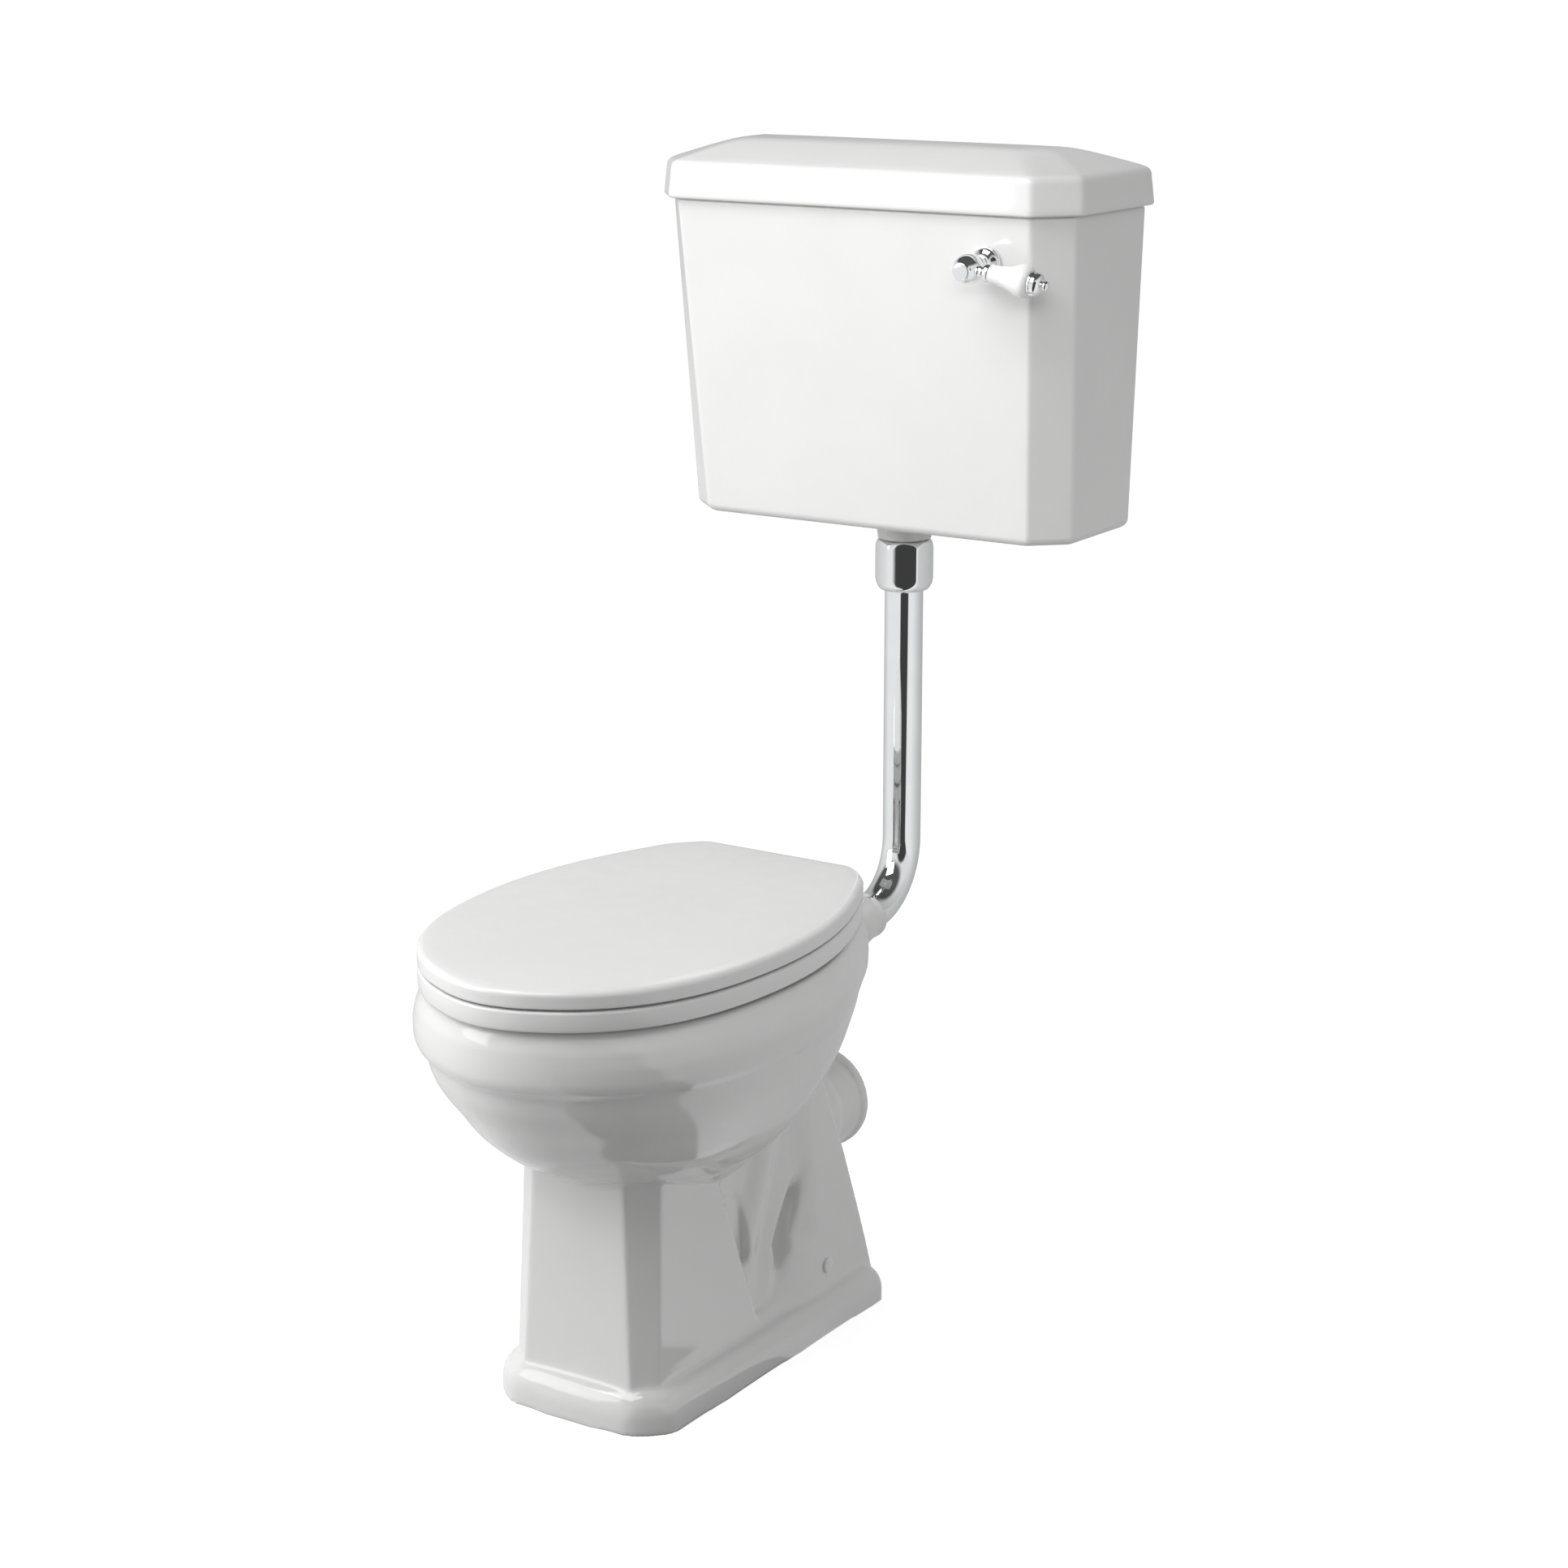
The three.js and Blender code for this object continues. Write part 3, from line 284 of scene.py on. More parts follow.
def smooth_profile(pts, per=5):
    """Centripetal spline through profile points; a point given twice stays a corner."""
    pts = [tuple(p) for p in pts]
    runs, cur = [], [pts[0]]
    for p in pts[1:]:
        if p == cur[-1]:
            runs.append(cur)
            cur = [p]
        else:
            cur.append(p)
    runs.append(cur)
    out = []
    for r in runs:
        q = np.array(r, float)
        if len(q) < 3:
            out += [tuple(x) for x in q]
            continue
        e = np.vstack([2 * q[0] - q[1], q, 2 * q[-1] - q[-2]])
        for i in range(1, len(e) - 2):
            p0, p1, p2, p3 = e[i - 1], e[i], e[i + 1], e[i + 2]
            t0, t1 = 0.0, np.linalg.norm(p1 - p0) ** 0.5 + 1e-9
            t2 = t1 + np.linalg.norm(p2 - p1) ** 0.5 + 1e-9
            t3 = t2 + np.linalg.norm(p3 - p2) ** 0.5 + 1e-9
            for k in range(per):
                t = t1 + (t2 - t1) * k / per
                a1 = (t1 - t) / (t1 - t0) * p0 + (t - t0) / (t1 - t0) * p1
                a2 = (t2 - t) / (t2 - t1) * p1 + (t - t1) / (t2 - t1) * p2
                a3 = (t3 - t) / (t3 - t2) * p2 + (t - t2) / (t3 - t2) * p3
                b1 = (t2 - t) / (t2 - t0) * a1 + (t - t0) / (t2 - t0) * a2
                b2 = (t3 - t) / (t3 - t1) * a2 + (t - t1) / (t3 - t1) * a3
                out.append(tuple((t2 - t) / (t2 - t1) * b1 + (t - t1) / (t2 - t1) * b2))
        out.append(tuple(q[-1]))
    return out

def turned(profile, at, d, n=64, radius=None):
    """Revolves [radius, height] points about d through at; radius(angle, r, h) can reshape it."""
    u, w, d = basis(d)
    at = np.array(at, float)
    v, f = [], []
    rings = []
    for r, h in profile:
        if r < 1e-6:
            rings.append([len(v)])
            v.append(at + d * h)
            continue
        ring = []
        for k in range(n):
            a = 2 * math.pi * k / n
            rr = radius(a, r, h) if radius else r
            ring.append(len(v))
            v.append(at + d * h + (u * math.cos(a) + w * math.sin(a)) * rr)
        rings.append(ring)
    for A, B in zip(rings, rings[1:]):
        for k in range(n):
            j = (k + 1) % n
            if len(A) == 1 and len(B) == 1:
                continue
            if len(A) == 1:
                f.append((A[0], B[j], B[k]))
            elif len(B) == 1:
                f.append((A[k], A[j], B[0]))
            else:
                f.append((A[k], A[j], B[j], B[k]))
    return np.array(v), f

def swept(path, r, n=48, close_ends=False):
    path = np.asarray(path, float)
    rings = []
    for i, p in enumerate(path):
        t = path[min(i + 1, len(path) - 1)] - path[max(i - 1, 0)]
        t /= np.linalg.norm(t)
        u = np.array([1.0, 0, 0])
        w = np.cross(t, u)
        w /= np.linalg.norm(w)
        a = np.linspace(0, 2 * np.pi, n, endpoint=False)
        rings.append(p + np.outer(np.cos(a), u) * r + np.outer(np.sin(a), w) * r)
    return rings

# ------------------------------------------------------------------ the seat outline and its distance table
HALF = [(-292, 86), (-319, 108), (-355, 125), (-400, 142), (-450, 154.5), (-502, 160.5), (-553, 159.5), (-604, 152.5), (-646, 140), (-679, 123), (-706, 101.5), (-727, 77), (-741, 52.5), (-751.5, 27), (-755.5, 0)]
FRONT = HALF[-1][0]
def outline_points(n_out=240):
    """Seat outline, anticlockwise from above, smooth round the sides and front, with a straight back between rounded corners."""
    right = [(h, y) for y, h in HALF]
    back = [(60, -291.2), (76, -291.4)]
    side = back + [(87, -297), (96.5, -306)] + right[1:]
    full = side + [(-x, y) for x, y in side[:-1][::-1]]
    pts = np.array(smooth_profile(full, 8))
    pts = np.vstack([pts, [[-30, -291], [0, -291], [30, -291]]])
    pts = pts[::-1]
    d = np.r_[0, np.cumsum(np.linalg.norm(np.diff(np.vstack([pts, pts[:1]]), axis=0), axis=1))]
    t = np.linspace(0, d[-1], n_out, endpoint=False)
    loop = np.vstack([pts, pts[:1]])
    return np.stack([np.interp(t, d, loop[:, 0]), np.interp(t, d, loop[:, 1])], 1)

BASE = outline_points(480)
def poly_sdf(px, py, poly):
    a = poly
    b = np.roll(poly, -1, 0)
    best = np.full(px.shape, 1e9)
    inside = np.zeros(px.shape, bool)
    for (x0, y0), (x1, y1) in zip(a, b):
        ex, ey = x1 - x0, y1 - y0
        L = ex * ex + ey * ey + 1e-12
        t = np.clip(((px - x0) * ex + (py - y0) * ey) / L, 0, 1)
        best = np.minimum(best, (px - x0 - t * ex) ** 2 + (py - y0 - t * ey) ** 2)
        c = (y0 > py) != (y1 > py)
        if y1 != y0:
            inside ^= c & (px < (x1 - x0) * (py - y0) / (y1 - y0) + x0)
    return np.where(inside, -1, 1) * np.sqrt(best)

TH = 3.0
TU = np.arange(0, 300 + TH, TH)
TV = np.arange(-1000, 0 + TH, TH)
TABLE = poly_sdf(*np.meshgrid(TU, TV, indexing="ij"), BASE[::2]).astype(np.float32)
def table(u, v):
    a = np.clip(np.abs(u) / TH, 0, len(TU) - 1.001)
    b = np.clip((v + 1000) / TH, 0, len(TV) - 1.001)
    i, j = a.astype(np.int32), b.astype(np.int32)
    a, b = a - i, b - j
    T = TABLE
    return (T[i, j] * (1 - a) + T[i + 1, j] * a) * (1 - b) + (T[i, j + 1] * (1 - a) + T[i + 1, j + 1] * a) * b

def offset(poly, g):
    """Moves a closed anticlockwise outline inwards by g along its normals."""
    t = np.roll(poly, -1, 0) - np.roll(poly, 1, 0)
    t /= np.linalg.norm(t, axis=1, keepdims=True)
    nrm = np.stack([t[:, 1], -t[:, 0]], 1)
    return poly - nrm * g

def at_z(poly, z):
    return np.column_stack([poly, np.full(len(poly), z)])

# ------------------------------------------------------------------ blended shapes, meshed from a distance function
def smin(a, b, k):
    h = np.clip(0.5 + 0.5 * (b - a) / k, 0, 1)
    return b + (a - b) * h - k * h * (1 - h)

def smax(a, b, k):
    return -smin(-a, -b, k)

def capsules(X, Y, Z, path, r, x=0.0):
    """Distance to a round rod of radius r along points (y, z) in the plane at x."""
    best = None
    for (y0, z0), (y1, z1) in zip(path, path[1:]):
        ey, ez = y1 - y0, z1 - z0
        t = np.clip(((Y - y0) * ey + (Z - z0) * ez) / (ey * ey + ez * ez), 0, 1)
        d = (X - x) ** 2 + (Y - y0 - t * ey) ** 2 + (Z - z0 - t * ez) ** 2
        best = d if best is None else np.minimum(best, d)
    return np.sqrt(best) - r

def plane(X, Y, Z, p, q, s):
    """Signed distance to the plane through three points, positive on the side its normal (q-p)x(s-p) points to."""
    p, q, s = map(lambda a: np.array(a, float), (p, q, s))
    n = np.cross(q - p, s - p)
    n /= np.linalg.norm(n)
    return (X - p[0]) * n[0] + (Y - p[1]) * n[1] + (Z - p[2]) * n[2]

def surface(F, lo, hi, h):
    """Quad mesh of F = 0, symmetric in x, from dual cells; vertices are then pulled onto the surface."""
    xs = np.arange(0, hi[0] + h, h, dtype=np.float32)
    ys = np.arange(lo[1], hi[1] + h, h, dtype=np.float32)
    zs = np.arange(lo[2], hi[2] + h, h, dtype=np.float32)
    half = np.empty((len(xs), len(ys), len(zs)), np.float32)
    for i in range(0, len(xs), 12):
        X, Y, Z = np.meshgrid(xs[i:i + 12], ys, zs, indexing="ij")
        half[i:i + 12] = F(X, Y, Z)
    G = np.concatenate([half[:0:-1], half])
    xs = np.concatenate([-xs[:0:-1], xs])
    ins = G < 0
    c = np.zeros(tuple(s - 1 for s in G.shape), np.int8)
    for dx in (0, 1):
        for dy in (0, 1):
            for dz in (0, 1):
                c += ins[dx:dx + c.shape[0], dy:dy + c.shape[1], dz:dz + c.shape[2]]
    act = np.argwhere((c > 0) & (c < 8))
    idx = np.full(c.shape, -1, np.int32)
    idx[tuple(act.T)] = np.arange(len(act))
    acc = np.zeros((len(act), 3))
    cnt = np.zeros(len(act))
    corners = [(a, b, d) for a in (0, 1) for b in (0, 1) for d in (0, 1)]
    for p in corners:
        for ax in range(3):
            if p[ax]:
                continue
            q = list(p)
            q[ax] = 1
            a = G[act[:, 0] + p[0], act[:, 1] + p[1], act[:, 2] + p[2]]
            b = G[act[:, 0] + q[0], act[:, 1] + q[1], act[:, 2] + q[2]]
            m = (a < 0) != (b < 0)
            t = np.where(m, a / np.where(m, a - b, 1), 0)
            e = np.tile(np.array(p, float), (len(act), 1))
            e[:, ax] = t
            acc[m] += e[m]
            cnt[m] += 1
    pos = act + acc / cnt[:, None]
    V = np.stack([xs[0] + pos[:, 0] * h, ys[0] + pos[:, 1] * h, zs[0] + pos[:, 2] * h], 1)
    quads = []
    for ax in range(3):
        o = [a for a in range(3) if a != ax]
        s0 = [slice(None)] * 3
        s1 = [slice(None)] * 3
        s0[ax], s1[ax] = slice(0, -1), slice(1, None)
        A, B = ins[tuple(s0)], ins[tuple(s1)]
        e = np.argwhere(A != B)
        e = e[(e[:, o[0]] > 0) & (e[:, o[1]] > 0) & (e[:, o[0]] < G.shape[o[0]] - 1) & (e[:, o[1]] < G.shape[o[1]] - 1)]
        flip = A[tuple(e.T)]
        ring = []
        for a, b in ((-1, -1), (0, -1), (0, 0), (-1, 0)):
            q = e.copy()
            q[:, o[0]] += a
            q[:, o[1]] += b
            ring.append(idx[tuple(q.T)])
        Q = np.stack(ring, 1)
        if ax == 1:
            flip = ~flip
        Q[~flip] = Q[~flip][:, ::-1]
        quads.append(Q)
    Q = np.concatenate(quads)
    d = 0.4
    for _ in range(3):
        f = F(V[:, 0], V[:, 1], V[:, 2])
        g = np.stack([F(V[:, 0] + d, V[:, 1], V[:, 2]) - F(V[:, 0] - d, V[:, 1], V[:, 2]),
                      F(V[:, 0], V[:, 1] + d, V[:, 2]) - F(V[:, 0], V[:, 1] - d, V[:, 2]),
                      F(V[:, 0], V[:, 1], V[:, 2] + d) - F(V[:, 0], V[:, 1], V[:, 2] - d)], 1) / (2 * d)
        g2 = (g ** 2).sum(1) + 1e-4
        step = -g * (f / g2)[:, None]
        L = np.linalg.norm(step, axis=1, keepdims=True)
        V = V + step * np.minimum(1, 0.6 * h / np.maximum(L, 1e-9))
    return V, Q

# ------------------------------------------------------------------ pan
RIM_Z = 399.0
PROF = [  # z, width factor, front, back
    (186, .40, -548, -445), (196, .46, -568, -428), (204, .51, -590, -410), (213, .56, -608, -390), (223, .635, -627, -364), (234, .69, -651, -346), (246, .75, -672, -331), (266, .845, -696, -316),
    (288, .925, -713, -305), (308, .985, -729, -298), (324, 1.014, -738, -293), (334, 1.024, -741, -291), (339, 1.030, -742.5, -290), (342, 1.040, -744.5, -289), (345, 1.056, -748, -288),
    (349, 1.070, -751, -286.5), (356, 1.080, -753, -285), (366, 1.080, -753.5, -284), (380, 1.060, -753, -283), (392, 1.027, -750, -283), (402, .998, -746, -283)]
def table_curve(rows):
    z = np.arange(rows[0][0], rows[-1][0] + 0.5, 1.0)
    R = np.array(rows, float)
    out = []
    for c in range(1, R.shape[1]):
        m = np.zeros(len(R))
        s = np.diff(R[:, c]) / np.diff(R[:, 0])
        m[1:-1] = np.where(s[:-1] * s[1:] > 0, 2 * s[:-1] * s[1:] / (s[:-1] + s[1:] + 1e-12 * np.sign(s[:-1] + s[1:] + 1e-30)), 0)
        m[0], m[-1] = s[0], s[-1]
        i = np.clip(np.searchsorted(R[:, 0], z, side="right") - 1, 0, len(R) - 2)
        hh = R[i + 1, 0] - R[i, 0]
        t = (z - R[i, 0]) / hh
        out.append((2 * t ** 3 - 3 * t ** 2 + 1) * R[i, c] + (t ** 3 - 2 * t ** 2 + t) * hh * m[i] + (-2 * t ** 3 + 3 * t ** 2) * R[i + 1, c] + (t ** 3 - t ** 2) * hh * m[i + 1])
    return z, out

TAPER = 0.06  # how much the rim draws in towards the back
def lofted(X, Y, Z, curve):
    z, (sx, fr, bk) = curve
    def f(Zq):
        a, b, c = np.interp(Zq, z, sx), np.interp(Zq, z, fr), np.interp(Zq, z, bk)
        k = (b - c) / (FRONT + 292.0)
        t = np.clip((Y + 480) / 150, 0, 1)
        a = a * (1 - TAPER * t * t * (3 - 2 * t))
        return table(X / a, -292.0 + (Y - c) / k) * np.sqrt(a * k)
    f0 = f(Z)
    s = (f(Z + 1.5) - f(Z - 1.5)) / 3.0
    return f0 / np.sqrt(1 + s * s)

OUTER = table_curve(PROF)
INNER = table_curve([(200, 16 / 160, -584, -556), (208, 24 / 160, -592, -546), (216, 34 / 160, -604, -530), (232, 52 / 160, -626, -505), (256, 74 / 160, -650, -478), (284, 96 / 160, -674, -450), (312, 114 / 160, -692, -430),
                     (338, 127 / 160, -704, -414), (352, 134 / 160, -710, -406), (366, 136 / 160, -711, -404), (374, 131 / 160, -706, -408), (380, 120 / 160, -696, -417), (404, 116 / 160, -692, -420)])
TRAP = [(-585, 262), (-560, 222), (-540, 194), (-522, 178), (-504, 167), (-486, 163), (-468, 167), (-452, 178), (-437, 198), (-425, 222), (-414, 245), (-400, 262), (-384, 275), (-367, 281), (-352, 275), (-340, 262), (-331, 243), (-326, 222), (-318, 203), (-306, 186), (-291, 175), (-272, 171), (-240, 171)]
PIPE_Y, BEND_Z, BEND_R = -66.0, 399.0, 63.0
PIPE = [(PIPE_Y, 690.0), (PIPE_Y, BEND_Z)] + [(PIPE_Y - BEND_R * (1 - math.cos(t)), BEND_Z - BEND_R * math.sin(t)) for t in np.linspace(0, math.pi / 2, 25)[1:]] + [(-168.0, 336.0)]

def pan(X, Y, Z):
    X = np.abs(X)
    bowl = lofted(X, Y, Z, OUTER)
    bowl = smax(bowl, 190 - Z, 12)
    # front panel with bevelled corners and a slanted back edge
    ped = plane(X, Y, Z, (0, -627, 30), (10, -627, 30), (0, -620.5, 236))
    ped = smax(ped, plane(X, Y, Z, (58, -627, 30), (77.5, -610, 30), (47.5, -621, 236)), 1.8)
    side = plane(X, Y, Z, (77.5, -610, 30), (80.5, -500, 30), (74, -610, 236))
    side = smax(side, plane(X, Y, Z, (60, -451, 30), (0, -451, 30), (60, -526.5, 236)), 1.8)
    ped = smax(ped, side, 1.8)
    ped = smax(ped, smax(Z - 240, 20 - Z, 4), 8)
    # rear web, which carries the trap down to the foot
    wr = np.interp(Z, [30, 68, 106, 161, 200, 250], [88, 86, 83, 78, 73, 66])
    wf = np.interp(Z, [30, 68, 106, 161, 200, 250], [75.5, 72, 68.5, 66, 64, 58])
    t = np.clip((Y + 470) / 110, 0, 1)
    t = t * t * (3 - 2 * t)
    def ease(v):
        v = np.clip(v, 0, 1)
        return v * v * (3 - 2 * v)
    sunk = 5.2 * ease((-350 - Y) / 36) * ease((Z - 86) / 18)
    web = X - (wf + (wr - wf) * t - sunk)
    web = smax(web, plane(X, Y, Z, (0, -267, 40), (0, -301, 161), (10, -267, 40)) * 1.0, 4)
    web = smax(web, -Y - 560, 4)
    web = smax(web, Z - 238, 10)
    trap = capsules(X, Y, Z, TRAP, 47.0)
    trap = smax(trap, Y + 262, 6)
    # the trap's rising leg stands out of the sunk side, with a deep dip behind it and an arched one before it
    leg = capsules(X, Y, Z, [(-457, 84), (-444, 128), (-424, 176), (-410, 214)], 16.0, 53.0)
    web = smin(web, leg, 10)
    dip = ((X - 70) / 15) ** 2 + ((Y + 397 - (Z - 112) * 0.5) / 8.5) ** 2 + ((Z - 115) / 33) ** 2
    dip = (np.sqrt(dip) - 1) * 9
    web = smax(web, -dip, 12)
    arch = np.sqrt(np.maximum(0, np.abs(Y + 468.5 + (Z - 134) * 0.12) - 3) ** 2 + np.maximum(0, np.abs(Z - 134) - 24) ** 2) - 11.0
    arch = smax(arch, 59.5 - X, 4)
    web = smax(web, -arch, 5)
    # moulded plinth
    g = np.interp(Z, [0, 13, 18, 23, 28, 32, 35, 37.5, 40, 44, 50], [0, 0, 0.5, 1.7, 3.8, 6.6, 9.8, 13.6, 16.2, 18.0, 19.5])
    def foot(inset, k):
        f = -Y - 642 + 0.0008 * X * X + inset
        f = smax(f, plane(X, Y, Z, (67, -639.5, 0), (95, -613, 0), (67, -639.5, 50)) + inset, k)
        f = smax(f, plane(X, Y, Z, (95, -613, 0), (102.5, -266, 0), (95, -613, 50)) + inset, k)
        return smax(f, (Y + 265) + inset * 0.85, k)
    plinth = foot(g, 9)
    plinth = smax(plinth, Z - 50, 4)
    # outlet spigot and flush inlet
    R = np.sqrt(X * X + (Z - 171) ** 2)
    spig = smax(R - np.interp(Y, [-222, -219, -213, -209], [48, 50, 50, 49]), Y + 209, 1.5)
    spig = smax(spig, -Y - 330, 2)
    Rh = np.sqrt(X * X + (Z - 335) ** 2)
    hp = [(-322, 47), (-290, 46), (-268, 41), (-250, 37), (-232, 34), (-212, 32), (-194, 30.5), (-170, 28.6), (-158, 26.4), (-147, 24.2), (-96, 23)]
    horn = (Rh - np.interp(Y, [p[0] for p in hp], [p[1] for p in hp])) * 0.95
    horn = smax(horn, -Y - 322, 2)
    horn = smax(horn, plane(X, Y, Z, (0, -135, 361), (10, -135, 361), (0, -125, 309)), 6)
    f = smin(web, trap, 12)
    f = smin(f, ped, 3)
    f = smin(f, bowl, 5)
    f = smin(f, plinth, 4)
    f = smin(f, spig, 9)
    f = smin(f, horn, 22)
    f = smax(f, Z - RIM_Z, 5)
    # basin, trapway and bores
    basin = lofted(X, Y, Z, INNER)
    basin = smax(basin, 203 - Z, 6)
    f = smax(f, -basin, 5)
    f = smax(f, -capsules(X, Y, Z, TRAP, 36.0), 4)
    bore = smax(R - 42, -Y - 262, 8)
    f = smax(f, -bore, 2)
    pipe = capsules(X, Y, Z, PIPE, 19.9)
    f = smax(f, -pipe, 2)
    f = smax(f, -smax(Rh - 15, -Y - 448, 2), 2)
    f = smax(f, -smax(smax(Rh - 22.0, -Y - 213, 1), Y + 170, 1), 1)
    # pockets under the deck for the seat fixings
    pk = np.maximum(np.maximum(np.abs(X - 65) - 15.5, np.abs(Y + 291) - 31), np.abs(Z - 356.5) - 26.5)
    f = smax(f, -pk, 3)
    f = smax(f, -smax(np.sqrt((X - 66) ** 2 + (Y + 300) ** 2) - 5.5, 370 - Z, 1), 1)
    # side screw holes under the caps, and the open foot
    rs = np.sqrt((Y + 345) ** 2 + (Z - 60) ** 2)
    f = smax(f, -smax(rs - 4, 50 - X, 1), 1)
    inner = X - np.interp(Z, [0, 26, 40, 52, 92], [82, 82, 66, 58, 40])
    inner = smax(inner, np.maximum(Y + np.interp(Z, [0, 52, 92], [288, 302, 330]), -Y - np.interp(Z, [0, 30, 52, 92], [622, 620, 608, 596])), 6)
    inner = smax(inner, Z - 88, 6)
    inner = smax(inner, X * 0.66 - Y * 0.75 - np.interp(Z, [0, 30, 52], [506, 500, 482]), 6)
    f = smax(f, -inner, 4)
    return np.maximum(f, -Z)

V, Q = surface(pan, (0, -758, -2.0), (186, -92, 402), 2.6)
V[:, 2] = np.maximum(V[:, 2], 0)
make("pan_china", V, Q, "china", "fixed", "pan", "pan_foot", weighted=False)

# ------------------------------------------------------------------ flush pipe, nut and collar
def ends(path, r, wall, n=64):
    path3 = [(0, y, z) for y, z in path]
    o = swept(path3, r, n)
    i = swept(path3, r - wall, n)
    t = np.array(path3[1]) - np.array(path3[0])
    return loft(o + i[::-1], close=True)

TOP = np.linspace(688, 399, 30)
PPATH = [(PIPE_Y, z) for z in TOP] + PIPE[2:]
make("flush_pipe_chrome", *ends(PPATH, 18.9, 1.6), "chrome", "fixed", "flush_pipe", weighted=False)

HEX_A = math.radians(-33.5)
def hexr(a, r, h):
    """A hexagon softened at its corners, met by coned ends."""
    flat = 25.9 * (0.35 + 0.65 / max(1e-6, math.cos(((a - HEX_A) % (math.pi / 3)) - math.pi / 6)))  # the faces are slightly cushioned
    return r if r < 24.6 else float(smin(np.float64(flat), np.float64(r), 1.6))

def turned_z(profile, x, y, n=64, radius=None):
    """turned() about +Z with angles measured from +X."""
    v, f, rings = [], [], []
    for r, h in profile:
        rings.append((len(v), r))
        for k in range(n):
            a = 2 * math.pi * k / n
            rr = radius(a, r, h) if radius else r
            v.append((x + rr * math.cos(a), y + rr * math.sin(a), h))
    for (A, _), (B, _) in zip(rings, rings[1:]):
        for k in range(n):
            j = (k + 1) % n
            f.append((A + k, A + j, B + j, B + k))
    return np.array(v), f

nut = [(19.3, 656), (19.3, 651), (19.3, 651)] + smooth_profile([(21.5, 650.6), (24.0, 652.0), (26.5, 655.5), (28.6, 660.5), (30.4, 666.5), (31.0, 672), (31.0, 684), (30.4, 689.5), (28.4, 695.5), (26.2, 699.5), (24.2, 701.2)], 5) + [(22.4, 701.4), (22.4, 690)]
make("flush_nut_chrome", *turned_z(nut, 0, PIPE_Y, 120, hexr), "chrome", "fixed", "flush_pipe_nut", weighted=False)
collar = [(24, 703), (25.8, 702)] + smooth_profile([(26.2, 703), (26.8, 709), (28.0, 714), (30.2, 718), (31.0, 718.6)], 4) + [(24.4, 718.6), (24, 703)]
make("tail_collar", *turned_z(collar, 0, PIPE_Y, 72), "plastic", "fixed", "siphon_back_nut", weighted=False)
cone = smooth_profile([(19.6, -211), (19.6, -211), (23.4, -211), (23.8, -209), (23.8, -174), (23.2, -171.5), (21.5, -171), (19.6, -171.2)], 3)
make("inlet_cone", *turned([(r, h) for r, h in cone], (0, 0, 336), (0, 1, 0), 56), "rubber", "fixed", "flush_cone", weighted=False)

# ------------------------------------------------------------------ seat ring, lid and hinges
N = 360
LID = outline_points(N)
def lid_parts():
    prof = [(8.0, 423.6), (3.0, 422.5), (1.0, 422.3), (0.25, 422.8), (0.0, 423.6)] + [(0.0, 424.6), (0.02, 430.0), (0.05, 432.4)]
    for k in range(1, 9):
        a = k / 8 * math.pi / 2
        prof.append((0.05 + 7.2 * (1 - math.cos(a)), 432.4 + 5.7 * math.sin(a)))
    prof += [(8.6, 438.32), (10.0, 438.5)]
    rings = [at_z(offset(LID, g), z) for g, z in prof]
    c = np.array([0, -505.0])
    last = offset(LID, 10)
    for s, z in [(0.985, 438.68), (0.96, 438.92), (0.92, 439.25), (0.86, 439.6), (0.76, 440.0), (0.62, 440.35), (0.46, 440.55), (0.28, 440.66), (0.08, 440.7)]:
        rings.append(at_z(c + (last - c) * s, z))
    return loft(rings)

def boxy(x0, x1, y0, y1, z0, z1):
    v = [(x, y, z) for x in (x0, x1) for y in (y0, y1) for z in (z0, z1)]
    f = [(0, 1, 3, 2), (4, 6, 7, 5), (0, 4, 5, 1), (2, 3, 7, 6), (0, 2, 6, 4), (1, 5, 7, 3)]
    return v, f

HY, HZ, HX = -298.0, 414.0, 66.0
parts = [lid_parts()]
make("seat_lid_white", *parts[0], "seat_plastic", "lid", "seat_lid", weighted=False)
for s in (-1, 1):
    a, b = sorted((s * 48.2, s * 55.8))
    lug = []
    for x in (a, b):
        ring = [(x, HY + 6 * math.cos(t), HZ + 6 * math.sin(t)) for t in np.linspace(-math.pi, 0, 17)]
        ring += [(x, HY + 7, 424), (x, HY - 9, 424)]
        lug.append(np.array(ring))
    make("lid_lug_" + ("l" if s < 0 else "r"), *loft(lug), "seat_plastic", "lid", weighted=True, bevel=0.8, angle=50)

def ring_parts():
    outer = outline_points(N)
    hs, hf, hb = 118 / 160, -690.0, -410.0
    k = (hf - hb) / (FRONT + 292.0)
    hole = np.column_stack([outer[:, 0] * hs, hb + (outer[:, 1] + 292) * k])
    hole = sum(np.roll(hole, j, 0) for j in range(-14, 15)) / 29.0
    hole = sum(np.roll(hole, j, 0) for j in range(-9, 10)) / 19.0
    rows = []
    def add(poly, g, z):
        q = offset(poly, g)
        q[:, 1] = np.minimum(q[:, 1], -292.6)
        rows.append(at_z(q, z))
    add(outer, 7, 401.8)
    for a in np.linspace(0, math.pi / 2, 4):
        add(outer, 2.6 * (1 - math.sin(a)), 404.4 - 2.6 * math.cos(a))
    add(outer, 0, 411)
    for a in np.linspace(0, math.pi / 2, 6):
        add(outer, 2.8 * (1 - math.cos(a)), 417.4 + 2.8 * math.sin(a))
    add(outer, 8, 420.35)
    add(hole, -13, 420.1)
    for a in np.linspace(0, math.pi / 2, 8):
        add(hole, -9 * (1 - math.sin(a)) , 419.8 - 9 * (1 - math.cos(a)))
    add(hole, 0, 405)
    add(hole, -1.2, 401.8)
    add(hole, -4, 401.2)
    return rows
rows = ring_parts()
v, f = loft(rows, close=True)
make("seat_ring_white", v, f, "seat_plastic", "seat", "seat_ring", weighted=False)

